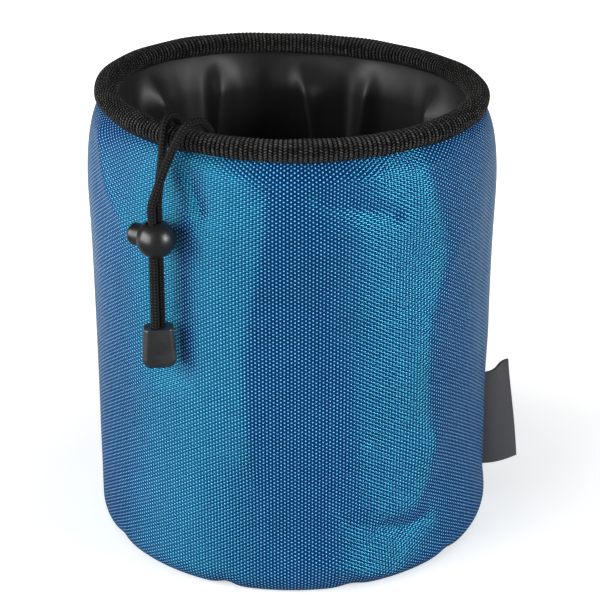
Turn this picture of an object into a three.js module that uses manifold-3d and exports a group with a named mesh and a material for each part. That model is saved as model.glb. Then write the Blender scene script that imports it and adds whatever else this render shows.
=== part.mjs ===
// A round cloth bag for clothes pegs, with a bound rim, an inner drawstring collar and a cord lock.
// Millimetres, +Z up, the front of the bag faces -Y. Angles are degrees from the front toward +X.

import * as THREE from 'three';
import { mergeVertices } from 'three/addons/utils/BufferGeometryUtils.js';
import Module from 'manifold-3d';

const wasm = await Module();
wasm.setup();

// Fits
const GAP = 0.3;               // between pieces that are sewn, glued or laid together
const TUNNEL_FIT = 0.8;        // round the drawstring in the hem
const BORE_FIT = 0.35;         // round the cord pair in the lock
const BUTTON_FIT = 0.3;        // round the button in the lock
const STOP_FIT = 0.2;          // behind the button when it is pressed home
const LOCK_FIT = 0.5;          // between the lock and the wall

// Bag wall
const BAG_HEIGHT = 182.7;      // floor to the mean crest of the rim
const WALL_RADIUS = 80;        // outside of the wall
const WALL_THICKNESS = 1.6;
const WAIST_DRAW = 0.4;        // how far the wall draws in half way up
const SHOULDER_DROP = 34;      // height of the curve between wall and rim
const CORNER_HEIGHT = 9;       // height of the rounded bottom corner
const CORNER_REACH = 5;        // how far the corner turns in
const SEAM_LAP = 1.4;          // flat edge of the wall beside the base
const FLOOR_LIFT = 0.1;        // keeps the turned edge just off the floor
const WALL_STEPS = 72;

// Base
const BASE_THICKNESS = 1.6;
const BOARD_THICKNESS = 1.5;
const BOARD_MARGIN = 1.2;      // the board is this much smaller than the base all round
const LINING_THICKNESS = 0.6;
const LINING_MARGIN = 1.4;     // the lining laps this far over the edge of the base

// Rim
const RIM_INSET = 8.45;        // outside of the wall in to the centre of the roll
const ROLL_RADIUS = 4.1;       // outside of the bound roll
const TAPE_THICKNESS = 0.8;
const FILLER_RADIUS = 2.6;
const RIM_OVAL = 1.15;         // soft rim: two, then three lobes out of round
const RIM_OVAL_ANGLE = 67;
const RIM_THIRD = 0.6;
const RIM_THIRD_ANGLE = 13;
const RIM_TILT = 1;            // soft rim: one, then two waves in height
const RIM_TILT_ANGLE = -107;
const RIM_WAVE = 0.85;
const RIM_WAVE_ANGLE = 58;
const RIM_FADE = 62;           // height below the rim over which these shapes die out

// Drawstring collar
const COLLAR_THICKNESS = 0.8;
const COLLAR_DROP = 74;        // rim centre down to the drawstring
const HEM_INSET = 3.35;        // centre of the roll in to the mean outside of the hem
const HEM_LEG = 9;             // height of the turned-up hem
const FOLD_COUNT = 8;
const FOLD_DEPTH = 3.2;
const SLOT_SPREAD = 23;        // angle of the hem left open for the cord

// Cord, lock and cord end
const CORD_RADIUS = 1.55;
const CORD_ANGLE = -35.8;      // where the pair hangs
const CORD_STAND = 5;          // outside of the wall out to the middle of the pair
const DENT_WIDTH = 8;          // angle over which the wall gives way behind the lock
const DENT_FADE = 16;          // height over which it fades out
const LOCK_RADIUS = 7.2;
const LOCK_HEIGHT = 144;       // centre of the lock above the floor
const LOCK_FLAT = 5;           // lock centre to the face that the button leaves
const LOCK_RISE = 5;           // slide of the lock up the cord
const BUTTON_RADIUS = 4.2;
const BUTTON_PROUD = 6;
const BUTTON_ROUND = 1.6;
const BUTTON_TRAVEL = 1.8;
const BUTTON_WEB = 0.8;        // material between the cord hole and the spring
const POCKET_DEPTH = 1.6;
const POCKET_RADIUS = 2.4;
const WIRE_RADIUS = 0.2;
const SPRING_RADIUS = 1.9;
const SPRING_TURNS = 2;        // few enough that the wire isn't solid when the button is home
const END_TOP = 109.3;         // top of the cord end above the floor
const END_HEIGHT = 15.9;
const END_TOP_WIDTH = 11;
const END_FOOT_WIDTH = 12.6;
const END_DEPTH = 7.4;
const END_CHAMFER = 1.3;
const END_ROUND = 3.6;
const END_TURN = 6;            // the cord end hangs turned by this angle
const END_GRIP = 10;           // length of cord inside the cord end
const PIN_RADIUS = 0.8;
const PIN_LENGTH = 1.8;
const PIN_SPREAD = 3.4;
const PIN_HEIGHT = 3.4;        // above the foot of the cord end

// Side label
const LABEL_ANGLE = 88;
const LABEL_FOOT = 17;
const LABEL_HEIGHT = 42;
const LABEL_WIDTH = 18.5;      // seam to fold
const LABEL_THICKNESS = 0.45;
const LABEL_SINK = 0.7;        // depth of the label in the seam
const LABEL_FOOT_ANGLE = 55;   // how far the free edge curls back, at the foot and at the top
const LABEL_TOP_ANGLE = 95;

// Sizes that follow from these
const RIM_Z = BAG_HEIGHT - ROLL_RADIUS;
const RIM_RADIUS = WALL_RADIUS - RIM_INSET;
const HEM_RADIUS = RIM_RADIUS - HEM_INSET;
const CORD_REACH = WALL_RADIUS + CORD_STAND;
const SLIT = WALL_THICKNESS + COLLAR_THICKNESS + 3 * GAP;
const FILLER_LIFT = ROLL_RADIUS - TAPE_THICKNESS - GAP - FILLER_RADIUS;
const EDGE_Z = RIM_Z + FILLER_LIFT - FILLER_RADIUS - GAP;
const NECK_Z = RIM_Z - ROLL_RADIUS;
const NECK_RADIUS = RIM_RADIUS + SLIT / 2 - GAP;
const COLLAR_RADIUS = NECK_RADIUS - WALL_THICKNESS - GAP;
const SEAM_RADIUS = WALL_RADIUS - CORNER_REACH - SEAM_LAP;
const BASE_RADIUS = SEAM_RADIUS - GAP;
const HEM_Z = RIM_Z - COLLAR_DROP;
const HEM_BEND = COLLAR_THICKNESS + TUNNEL_FIT + CORD_RADIUS;
const CORD_PITCH = 2 * CORD_RADIUS + GAP;
const DENT_DEPTH = LOCK_RADIUS + LOCK_FIT - CORD_STAND;
const HOLE_IN = CORD_RADIUS + GAP;
const HOLE_OUT = HOLE_IN + BUTTON_TRAVEL;
const BUTTON_END = HOLE_IN + BUTTON_WEB;
const CHAMBER_END = BUTTON_END + BUTTON_TRAVEL + STOP_FIT;
const POCKET_END = CHAMBER_END + POCKET_DEPTH;

const rad = THREE.MathUtils.degToRad;
const step = THREE.MathUtils.smoothstep;

// A point at an angle, a distance from the bag's axis and a height
function at(angle, radius, z) {
  return new THREE.Vector3(radius * Math.sin(rad(angle)), -radius * Math.cos(rad(angle)), z);
}

// How far the soft rim stands out of round, and how far it rises, at an angle
function rimOut(angle) {
  const oval = RIM_OVAL * Math.cos(2 * rad(angle - RIM_OVAL_ANGLE));
  return oval + RIM_THIRD * Math.cos(3 * rad(angle - RIM_THIRD_ANGLE));
}

function rimUp(angle) {
  const tilt = RIM_TILT * Math.cos(rad(angle - RIM_TILT_ANGLE));
  return tilt + RIM_WAVE * Math.cos(2 * rad(angle - RIM_WAVE_ANGLE));
}

// Joins doubled points, drops flat faces and turns the faces outward
function weld(geometry) {
  const bare = new THREE.BufferGeometry();
  bare.setAttribute('position', geometry.getAttribute('position'));
  bare.setIndex(geometry.getIndex());
  const joined = mergeVertices(bare, 1e-4);
  const source = joined.getIndex().array;
  const points = joined.getAttribute('position');
  const corner = [new THREE.Vector3(), new THREE.Vector3(), new THREE.Vector3()];
  const faces = [];
  let volume = 0;
  for (let i = 0; i < source.length; i += 3) {
    const [a, b, c] = [source[i], source[i + 1], source[i + 2]];
    if (a === b || b === c || c === a) {
      continue;
    }
    corner[0].fromBufferAttribute(points, a);
    corner[1].fromBufferAttribute(points, b);
    corner[2].fromBufferAttribute(points, c);
    volume += corner[0].dot(corner[1].cross(corner[2]));
    faces.push(a, b, c);
  }
  if (volume < 0) {
    faces.reverse();
  }
  joined.setIndex(faces);
  return joined;
}

function solid(geometry) {
  const welded = weld(geometry);
  const vertProperties = new Float32Array(welded.getAttribute('position').array);
  const triVerts = new Uint32Array(welded.getIndex().array);
  return new wasm.Manifold(new wasm.Mesh({ numProp: 3, vertProperties, triVerts }));
}

function fromSolid(body) {
  const mesh = body.getMesh();
  const geometry = new THREE.BufferGeometry();
  geometry.setAttribute('position', new THREE.BufferAttribute(mesh.vertProperties, 3));
  geometry.setIndex(Array.from(mesh.triVerts));
  return geometry;
}

// Gives a line of points a thickness on its left side, as one closed outline
function thicken(line, thickness) {
  const back = line.map((point, i) => {
    const before = line[Math.max(i - 1, 0)];
    const after = line[Math.min(i + 1, line.length - 1)];
    const along = after.clone().sub(before).normalize();
    return point.clone().add(new THREE.Vector2(-along.y, along.x).multiplyScalar(thickness));
  });
  return [...line, ...back.reverse()];
}

// Turns a closed outline of radius and height about the bag's axis
function revolve(outline, steps) {
  const lathe = new THREE.LatheGeometry([...outline, outline[0]], steps, rad(CORD_ANGLE));
  return lathe.rotateX(Math.PI / 2);
}

// Moves every point of a turned piece to the radius and height that a rule gives
function reshape(geometry, rule) {
  const points = geometry.getAttribute('position');
  for (let i = 0; i < points.count; i += 1) {
    const x = points.getX(i);
    const y = points.getY(i);
    const angle = THREE.MathUtils.radToDeg(Math.atan2(x, -y));
    const [radius, z] = rule(angle, Math.hypot(x, y), points.getZ(i));
    const moved = at(angle, radius, z);
    points.setXYZ(i, moved.x, moved.y, moved.z);
  }
  return geometry;
}

// Points on an arc about a centre, from one angle to another
function arc(x, y, radiusX, radiusY, from, to, count) {
  return Array.from({ length: count }, (_, i) => {
    const angle = rad(from + ((to - from) * i) / (count - 1));
    return new THREE.Vector2(x + radiusX * Math.cos(angle), y + radiusY * Math.sin(angle));
  });
}

// A round cord along a curve
function cord(points, radius, sides, steps) {
  const ring = new THREE.Shape(arc(0, 0, radius, radius, 0, 360 - 360 / sides, sides));
  const extrudePath = new THREE.CatmullRomCurve3(points, false, 'centripetal');
  return new THREE.ExtrudeGeometry(ring, { steps, extrudePath, curveSegments: 1 });
}

// A long hole with round ends, through a piece along Z
function slot(reach, radius, depth) {
  const right = arc(reach, 0, radius, radius, -90, 90, 9);
  const left = arc(-reach, 0, radius, radius, 90, 270, 9);
  const shape = new THREE.Shape([...right, ...left]);
  const cut = new THREE.ExtrudeGeometry(shape, { depth, bevelEnabled: false });
  return cut.translate(0, 0, -depth / 2);
}

// Closed skin over a stack of like outlines
function loft(rings) {
  const size = rings[0].length;
  const last = rings.length - 1;
  const index = [];
  for (let i = 0; i < last; i += 1) {
    for (let j = 0; j < size; j += 1) {
      const a = i * size + j;
      const b = i * size + ((j + 1) % size);
      index.push(a, b, b + size, a, b + size, a + size);
    }
  }
  const cap = THREE.ShapeUtils.triangulateShape(rings[0].map((p) => new THREE.Vector2(p.x, p.y)), []);
  const top = THREE.ShapeUtils.triangulateShape(rings[last].map((p) => new THREE.Vector2(p.x, p.y)), []);
  cap.forEach(([a, b, c]) => index.push(a, c, b));
  top.forEach(([a, b, c]) => index.push(a + last * size, b + last * size, c + last * size));
  const geometry = new THREE.BufferGeometry().setFromPoints(rings.flat());
  geometry.setIndex(index);
  return geometry;
}

const bag = new THREE.Group();
bag.name = 'peg_bag';

function addMesh(parent, name, geometry, color, roughness, metalness = 0) {
  const welded = weld(geometry);
  welded.computeVertexNormals();
  const material = new THREE.MeshStandardMaterial({ color, roughness, metalness });
  const mesh = new THREE.Mesh(welded, material);
  mesh.name = name;
  parent.add(mesh);
  return mesh;
}

const BLUE = 0x1e5aa0;
const BLACK = 0x17171a;
const CHARCOAL = 0x242629;

// Wall: rim edge, shoulder, drawn-in waist and rounded bottom corner in one profile
const wallLine = [
  new THREE.Vector2(NECK_RADIUS, EDGE_Z),
  ...arc(NECK_RADIUS, NECK_Z - SHOULDER_DROP, WALL_RADIUS - NECK_RADIUS, SHOULDER_DROP, 90, 0, 6),
  ...[0.25, 0.5, 0.75].map((t) => {
    const z = THREE.MathUtils.lerp(NECK_Z - SHOULDER_DROP, CORNER_HEIGHT, t);
    return new THREE.Vector2(WALL_RADIUS - WAIST_DRAW * Math.sin(Math.PI * t), z);
  }),
  ...arc(WALL_RADIUS - CORNER_REACH, CORNER_HEIGHT, CORNER_REACH, CORNER_HEIGHT - FLOOR_LIFT, 0, -90, 5),
  new THREE.Vector2(SEAM_RADIUS, FLOOR_LIFT),
];
const lockLow = END_TOP + GAP;
const lockHigh = LOCK_HEIGHT + LOCK_RADIUS + LOCK_RISE;

function wallRule(angle, radius, z) {
  const soft = step(z, EDGE_Z - RIM_FADE, NECK_Z);
  const behind = Math.exp(-(((angle - CORD_ANGLE) / DENT_WIDTH) ** 2));
  const rise = step(z, lockLow - END_HEIGHT - DENT_FADE, lockLow - END_HEIGHT);
  const fall = 1 - step(z, lockHigh, lockHigh + DENT_FADE);
  const dent = DENT_DEPTH * behind * rise * fall;
  return [radius + soft * rimOut(angle) - dent, z + soft * rimUp(angle)];
}

const wallSkin = reshape(revolve(thicken(wallLine, -WALL_THICKNESS), WALL_STEPS), wallRule);

// Side label: one strip, folded at its free edge, with its ends caught in the side seam
const labelHalf = LABEL_THICKNESS + GAP / 2;

function labelRing(rise) {
  const curl = THREE.MathUtils.lerp(LABEL_FOOT_ANGLE, LABEL_TOP_ANGLE, rise);
  const start = at(LABEL_ANGLE, WALL_RADIUS - WAIST_DRAW - LABEL_SINK, 0);
  const place = new THREE.Vector2(start.x, start.y);
  const count = 7;
  const front = [];
  const rear = [];
  let heading = rad(LABEL_ANGLE - 90);
  for (let i = 0; i < count; i += 1) {
    const side = new THREE.Vector2(Math.sin(heading), -Math.cos(heading)).multiplyScalar(labelHalf);
    front.push(place.clone().add(side));
    rear.unshift(place.clone().sub(side));
    heading = rad(LABEL_ANGLE - 90 + curl * Math.sin((Math.PI / 2) * (i / (count - 1))));
    const reach = (LABEL_WIDTH + LABEL_SINK) / (count - 1);
    if (i < count - 1) {
      place.add(new THREE.Vector2(Math.cos(heading), Math.sin(heading)).multiplyScalar(reach));
    }
  }
  const turn = THREE.MathUtils.radToDeg(heading);
  const fold = arc(place.x, place.y, labelHalf, labelHalf, turn - 60, turn + 60, 3);
  const z = LABEL_FOOT + rise * LABEL_HEIGHT;
  const outline = thicken([...front, ...fold, ...rear], LABEL_THICKNESS);
  return outline.map((p) => new THREE.Vector3(p.x, p.y, z));
}

const seamDepth = LABEL_SINK + GAP;
const seam = new THREE.BoxGeometry(2 * seamDepth, 2 * (labelHalf + GAP), LABEL_HEIGHT + 2 * GAP);
seam.rotateZ(rad(LABEL_ANGLE - 90));
const seamPlace = at(LABEL_ANGLE, WALL_RADIUS - WAIST_DRAW, LABEL_FOOT + LABEL_HEIGHT / 2);
seam.translate(seamPlace.x, seamPlace.y, seamPlace.z);

addMesh(bag, 'wall_panel', fromSolid(solid(wallSkin).subtract(solid(seam))), BLUE, 0.75);
addMesh(bag, 'side_label', loft([0, 0.25, 0.5, 0.75, 1].map(labelRing)), CHARCOAL, 0.8);

// Base: outer disc, stiff board and inner lining, one on the other
function disc(radius, thickness, foot) {
  const plate = new THREE.CylinderGeometry(radius, radius, thickness, WALL_STEPS);
  return plate.rotateX(Math.PI / 2).translate(0, 0, foot + thickness / 2);
}

const boardFoot = BASE_THICKNESS + GAP;
const liningFoot = boardFoot + BOARD_THICKNESS + GAP;
addMesh(bag, 'base_panel', disc(BASE_RADIUS, BASE_THICKNESS, 0), BLUE, 0.75);
addMesh(bag, 'base_board', disc(BASE_RADIUS - BOARD_MARGIN, BOARD_THICKNESS, boardFoot), 0x3a3a3c, 0.5);
addMesh(bag, 'base_lining', disc(BASE_RADIUS + LINING_MARGIN, LINING_THICKNESS, liningFoot), BLACK, 0.7);

// Rim: a filler cord in a binding tape that is open below for the wall and the collar
function rimRule(angle, radius, z) {
  return [radius + rimOut(angle), z + rimUp(angle)];
}

const slitAngle = THREE.MathUtils.radToDeg(Math.asin(SLIT / 2 / (ROLL_RADIUS - TAPE_THICKNESS)));
const tapeLine = arc(RIM_RADIUS, RIM_Z, ROLL_RADIUS, ROLL_RADIUS, slitAngle - 90, 270 - slitAngle, 11);
const tape = reshape(revolve(thicken(tapeLine, TAPE_THICKNESS), WALL_STEPS), rimRule);
const fillerLine = arc(RIM_RADIUS, RIM_Z + FILLER_LIFT, FILLER_RADIUS, FILLER_RADIUS, 0, 315, 8);
const filler = reshape(revolve(fillerLine, WALL_STEPS), rimRule);
addMesh(bag, 'rim_binding', tape, BLACK, 0.85);
addMesh(bag, 'rim_filler', filler, 0x8c8c8c, 0.9);

// Collar: a thin sleeve hung from the rim, folded, with its hem turned up round the drawstring
const hemCentre = HEM_RADIUS - HEM_BEND;
const collarLine = [
  new THREE.Vector2(COLLAR_RADIUS, EDGE_Z),
  new THREE.Vector2(COLLAR_RADIUS, NECK_Z - GAP),
  new THREE.Vector2((COLLAR_RADIUS + HEM_RADIUS) / 2, (NECK_Z + HEM_Z) / 2),
  new THREE.Vector2(HEM_RADIUS, HEM_Z + HEM_LEG),
  ...arc(hemCentre, HEM_Z, HEM_BEND, HEM_BEND, 0, -180, 5),
  new THREE.Vector2(HEM_RADIUS - 2 * COLLAR_THICKNESS - GAP, HEM_Z + HEM_LEG),
];

function foldShift(angle, z) {
  const hang = 1 - step(z, HEM_Z, NECK_Z);
  return hang * FOLD_DEPTH * Math.cos(FOLD_COUNT * rad(angle - CORD_ANGLE));
}

// The turned-up leg dips to the bend of the hem where the cord comes out
const legLean = 2 * (HEM_BEND - COLLAR_THICKNESS) - GAP;

function collarRule(angle, radius, z) {
  const soft = step(z, HEM_Z + HEM_LEG, NECK_Z);
  const onLeg = z > HEM_Z + GAP && z < NECK_Z && radius < HEM_RADIUS - COLLAR_THICKNESS - GAP / 2;
  const apart = Math.abs(THREE.MathUtils.euclideanModulo(angle - CORD_ANGLE + 180, 360) - 180);
  const open = onLeg && apart < SLOT_SPREAD / 2;
  const place = open ? radius - legLean : radius;
  const height = open ? HEM_Z + GAP : z;
  return [place + foldShift(angle, height) + soft * rimOut(angle), height + soft * rimUp(angle)];
}

const sleeve = reshape(revolve(thicken(collarLine, -COLLAR_THICKNESS), FOLD_COUNT * 8), collarRule);
addMesh(bag, 'closing_collar', sleeve, BLACK, 0.6);

// Drawstring: once round in the hem, then two free strands over the rim and down the front.
// The right strand crosses over the left one and hangs outside it.
function inHem(angle) {
  return at(angle, hemCentre + foldShift(angle, HEM_Z), HEM_Z);
}

const loopStart = CORD_ANGLE + SLOT_SPREAD / 2;
const loopEnd = loopStart + 360 - SLOT_SPREAD;
const loop = Array.from({ length: 97 }, (_, i) => inHem(loopStart + ((loopEnd - loopStart) * i) / 96));
addMesh(bag, 'drawstring_in_hem', cord(loop, CORD_RADIUS, 8, 72), BLACK, 0.9);

const endGripZ = END_TOP - END_GRIP;
const leftStrand = [
  at(-47, 65.1, 104.6),
  at(-44.9, 66, 105),
  at(-42.7, 66.6, 107),
  at(-41.5, 66.8, 111),
  at(-41.1, 66.4, 120),
  at(-40.7, 65.6, 140),
  at(-40.3, 64.4, 160),
  at(-40, 63.4, 172),
  at(-39.8, 63.8, 180.2),
  at(-39.4, 66.8, 184.2),
  at(-38.9, 70.6, 185.8),
  at(-37.9, 74.6, 184),
  at(-36.9, 77.4, 179.6),
  at(-36.6, 78.6, 174),
  at(-36.6, 79.6, 168.4),
  at(-36.3, 81.3, 163.4),
  at(CORD_ANGLE, CORD_REACH - CORD_PITCH / 2, 157),
  at(CORD_ANGLE, CORD_REACH - CORD_PITCH / 2, 150),
  at(CORD_ANGLE, CORD_REACH - CORD_PITCH / 2, 130),
  at(CORD_ANGLE, CORD_REACH - CORD_PITCH / 2, endGripZ),
];
const rightStrand = [
  at(-24.6, 65.1, 104.6),
  at(-26.7, 66, 105),
  at(-28.9, 66.6, 107),
  at(-30.1, 66.8, 111),
  at(-30.4, 66.4, 120),
  at(-29.8, 65.6, 140),
  at(-28.6, 64.4, 160),
  at(-27.9, 63.6, 172),
  at(-27.7, 64, 180),
  at(-28.3, 66.6, 183.9),
  at(-29.3, 70.2, 185.7),
  at(-30.4, 74.3, 185.3),
  at(-31.6, 78, 181.2),
  at(-33, 80.6, 175),
  at(-34, 82.8, 169.4),
  at(-34.8, 85, 163.4),
  at(CORD_ANGLE, CORD_REACH + CORD_PITCH / 2, 157),
  at(CORD_ANGLE, CORD_REACH + CORD_PITCH / 2, 150),
  at(CORD_ANGLE, CORD_REACH + CORD_PITCH / 2, 130),
  at(CORD_ANGLE, CORD_REACH + CORD_PITCH / 2, endGripZ),
];
addMesh(bag, 'drawstring_left_strand', cord(leftStrand, CORD_RADIUS, 8, 48), BLACK, 0.9);
addMesh(bag, 'drawstring_right_strand', cord(rightStrand, CORD_RADIUS, 8, 48), BLACK, 0.9);

// Cord lock: X is the button's axis, Y points to the bag, Z runs along the cord
const lock = new THREE.Group();
lock.position.copy(at(CORD_ANGLE, CORD_REACH, LOCK_HEIGHT));
lock.rotation.z = rad(CORD_ANGLE);
bag.add(lock);

function alongX(radius, from, to, sides) {
  const rod = new THREE.CylinderGeometry(radius, radius, to - from, sides);
  return rod.rotateZ(-Math.PI / 2).translate((from + to) / 2, 0, 0);
}

const ball = solid(new THREE.SphereGeometry(LOCK_RADIUS, 32, 20).rotateZ(Math.PI / 2));
const spare = LOCK_RADIUS - LOCK_FLAT;
const flat = new THREE.BoxGeometry(2 * spare, 2 * LOCK_RADIUS, 2 * LOCK_RADIUS);
const chamber = alongX(BUTTON_RADIUS + BUTTON_FIT, -LOCK_RADIUS, CHAMBER_END, 28);
const pocket = alongX(POCKET_RADIUS, 0, POCKET_END, 20);
const bore = slot(CORD_PITCH / 2, CORD_RADIUS + BORE_FIT, 3 * LOCK_RADIUS).rotateZ(Math.PI / 2);
const lockBody = ball
  .subtract(solid(flat.translate(-LOCK_FLAT - spare, 0, 0)))
  .subtract(solid(chamber))
  .subtract(solid(pocket))
  .subtract(solid(bore));
addMesh(lock, 'cord_lock_body', fromSolid(lockBody), 0x0d0d0f, 0.25);

const tip = LOCK_FLAT + BUTTON_PROUD;
const crown = arc(BUTTON_RADIUS - BUTTON_ROUND, tip - BUTTON_ROUND, BUTTON_ROUND, BUTTON_ROUND, 0, 90, 5);
const buttonLine = [
  new THREE.Vector2(0, -BUTTON_END),
  new THREE.Vector2(BUTTON_RADIUS, -BUTTON_END),
  ...crown,
  new THREE.Vector2(0, tip),
];
const button = solid(new THREE.LatheGeometry(buttonLine, 28).rotateZ(Math.PI / 2));
const holeHalf = CORD_PITCH / 2 + CORD_RADIUS + BORE_FIT;
const hole = new THREE.BoxGeometry(HOLE_IN + HOLE_OUT, 2 * holeHalf, 3 * BUTTON_RADIUS);
hole.translate((HOLE_IN - HOLE_OUT) / 2, 0, 0);
addMesh(lock, 'cord_lock_button', fromSolid(button.subtract(solid(hole))), 0x0d0d0f, 0.3);

const springFrom = BUTTON_END + GAP + WIRE_RADIUS;
const springTo = POCKET_END - GAP - WIRE_RADIUS;
const coilSteps = SPRING_TURNS * 8;
const coil = Array.from({ length: coilSteps + 1 }, (_, i) => {
  const turn = (2 * Math.PI * i) / 8;
  const x = THREE.MathUtils.lerp(springFrom, springTo, i / coilSteps);
  return new THREE.Vector3(x, SPRING_RADIUS * Math.cos(turn), SPRING_RADIUS * Math.sin(turn));
});
addMesh(lock, 'cord_lock_spring', cord(coil, WIRE_RADIUS, 5, coilSteps), 0xb8bcc0, 0.3, 1);

// Least gap of the spring to itself, on points at least half a turn apart
let coilGap = Infinity;
for (let i = 0; i <= coilSteps; i += 1) {
  for (let j = i + 4; j <= coilSteps; j += 1) {
    coilGap = Math.min(coilGap, coil[i].distanceTo(coil[j]) - 2 * WIRE_RADIUS);
  }
}
console.log(`least gap of the spring to itself ${coilGap.toFixed(2)} mm`);

// Cord end: two halves pinned together round both strands, bevelled all round but square at the top
const end = new THREE.Group();
end.position.copy(at(CORD_ANGLE, CORD_REACH, END_TOP - END_HEIGHT));
end.rotation.z = rad(END_TURN);
bag.add(end);

const topHalf = END_TOP_WIDTH / 2;
const footHalf = END_FOOT_WIDTH / 2;
const endCrown = END_HEIGHT + END_CHAMFER;
const endShape = new THREE.Shape([
  new THREE.Vector2(topHalf, endCrown),
  new THREE.Vector2(-topHalf, endCrown),
  ...arc(-footHalf + END_ROUND, END_ROUND, END_ROUND, END_ROUND, 180, 270, 6),
  ...arc(footHalf - END_ROUND, END_ROUND, END_ROUND, END_ROUND, 270, 360, 6),
]);
const bevel = { bevelSize: END_CHAMFER, bevelThickness: END_CHAMFER, bevelOffset: -END_CHAMFER };
const lid = new THREE.BoxGeometry(2 * END_FOOT_WIDTH, 2 * END_DEPTH, 2 * END_CHAMFER);
const block = solid(
  new THREE.ExtrudeGeometry(endShape, { depth: END_DEPTH - 2 * END_CHAMFER, bevelSegments: 1, ...bevel })
    .translate(0, 0, END_CHAMFER - END_DEPTH / 2)
    .rotateX(Math.PI / 2),
).subtract(solid(lid.translate(0, 0, endCrown)));

function endHalf(side) {
  const mask = new THREE.BoxGeometry(2 * END_FOOT_WIDTH, END_DEPTH, 3 * END_HEIGHT);
  mask.translate(0, side * (END_DEPTH / 2 - GAP / 2), 0);
  let half = block.subtract(solid(mask));
  [-1, 1].forEach((strand) => {
    const depth = END_GRIP + GAP;
    const well = new THREE.CylinderGeometry(CORD_RADIUS + GAP, CORD_RADIUS + GAP, 2 * depth, 16);
    const place = at(CORD_ANGLE - END_TURN, (strand * CORD_PITCH) / 2, END_HEIGHT);
    well.rotateX(Math.PI / 2).translate(place.x, place.y, place.z);
    half = half.subtract(solid(well));
  });
  return half;
}

function pin(x, radius, length) {
  const rod = new THREE.CylinderGeometry(radius, radius, 2 * length, 14);
  return solid(rod.translate(x, 0, PIN_HEIGHT));
}

let endFront = endHalf(1);
let endBack = endHalf(-1);
[-PIN_SPREAD, PIN_SPREAD].forEach((x) => {
  endFront = endFront.subtract(pin(x, PIN_RADIUS + GAP, PIN_LENGTH + GAP));
  endBack = endBack.add(pin(x, PIN_RADIUS, PIN_LENGTH));
});
addMesh(end, 'cord_end_front', fromSolid(endFront), CHARCOAL, 0.45);
addMesh(end, 'cord_end_back', fromSolid(endBack), CHARCOAL, 0.45);

export default bag;
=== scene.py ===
"""Looks of a round cloth peg bag: wall, base, bound rim, drawstring collar, cord lock, cord end and label.

Lengths are metres. The bag stands on the floor at the origin and its front faces -Y. An angle round the bag
counts from the front toward +X.
"""

import math

import bmesh
import bpy
import numpy as np
from bpy.props import FloatProperty, FloatVectorProperty, IntProperty, PointerProperty
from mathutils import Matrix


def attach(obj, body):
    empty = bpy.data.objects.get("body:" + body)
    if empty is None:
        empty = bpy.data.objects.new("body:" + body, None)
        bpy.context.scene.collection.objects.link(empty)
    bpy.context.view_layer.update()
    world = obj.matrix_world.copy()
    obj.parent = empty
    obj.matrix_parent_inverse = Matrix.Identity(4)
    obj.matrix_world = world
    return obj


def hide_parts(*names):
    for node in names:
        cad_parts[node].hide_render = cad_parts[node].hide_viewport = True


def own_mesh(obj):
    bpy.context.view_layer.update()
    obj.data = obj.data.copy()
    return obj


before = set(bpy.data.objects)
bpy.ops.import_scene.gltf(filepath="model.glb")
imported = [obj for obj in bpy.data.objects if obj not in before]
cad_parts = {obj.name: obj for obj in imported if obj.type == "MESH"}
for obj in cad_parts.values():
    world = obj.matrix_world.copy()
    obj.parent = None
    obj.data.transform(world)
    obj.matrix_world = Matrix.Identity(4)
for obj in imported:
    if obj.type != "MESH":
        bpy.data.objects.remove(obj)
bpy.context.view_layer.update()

bl_info = {
    "name": "Peg Bag",
    "version": (1, 0, 0),
    "blender": (4, 5, 0),
    "location": "3D View > Sidebar > Peg Bag",
    "description": "Builds the cloth, cord and moulded pieces of a peg bag round its solids",
    "category": "Add Mesh",
}

# Stage
IMAGE_PIXELS = 600
SENSOR_MILLIMETRES = 36.0
WHITE = (1.0, 1.0, 1.0, 1.0)
MIRRORED_SKY = 0.06
FLOOR_HALF = 4.0
FLOOR_TONES = (0.84, 0.86)
GLOW_REACH = (0.09, 0.34)
GLOW_STRENGTH = (0.48, 1.0)
MIRRORED_DEPTH = (-0.1, 0.3)
MIRRORED_FLOOR = (0.2, 0.9)
LAMP_AIM = (0.0, 0.0, 0.1)
KEY_PLACE = (-1.15, -0.62, 0.46)
KEY_SIZE = (1.6, 0.9)
FILL_PLACE = (1.08, -0.62, 0.42)
FILL_SIZE = (0.3, 0.5)
TOP_PLACE = (0.0, -0.2, 1.4)
TOP_SIZE = (1.2, 1.2)

# Fits
GAP = 0.0003
TUNNEL_FIT = 0.0008
BORE_FIT = 0.00035
BUTTON_FIT = 0.0003
STOP_FIT = 0.0002
LOCK_FIT = 0.0005

# Bag wall
BAG_HEIGHT = 0.1827
WALL_RADIUS = 0.0800
WALL_THICKNESS = 0.0016
WAIST_DRAW = 0.0004
SHOULDER_DROP = 0.0340
CORNER_HEIGHT = 0.0090
CORNER_REACH = 0.0050
SEAM_LAP = 0.0014
FLOOR_LIFT = 0.0001
WALL_STEPS = 400
WALL_ROWS = 150
WALL_INNER_ROWS = 70

# Base
BASE_THICKNESS = 0.0016
BOARD_THICKNESS = 0.0015
LINING_THICKNESS = 0.0006
LINING_MARGIN = 0.0014
DISC_STEPS = 144
BASE_RADIUS = WALL_RADIUS - CORNER_REACH - SEAM_LAP - GAP
LINING_RADIUS = BASE_RADIUS + LINING_MARGIN
LINING_FOOT = BASE_THICKNESS + BOARD_THICKNESS + 2 * GAP

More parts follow.
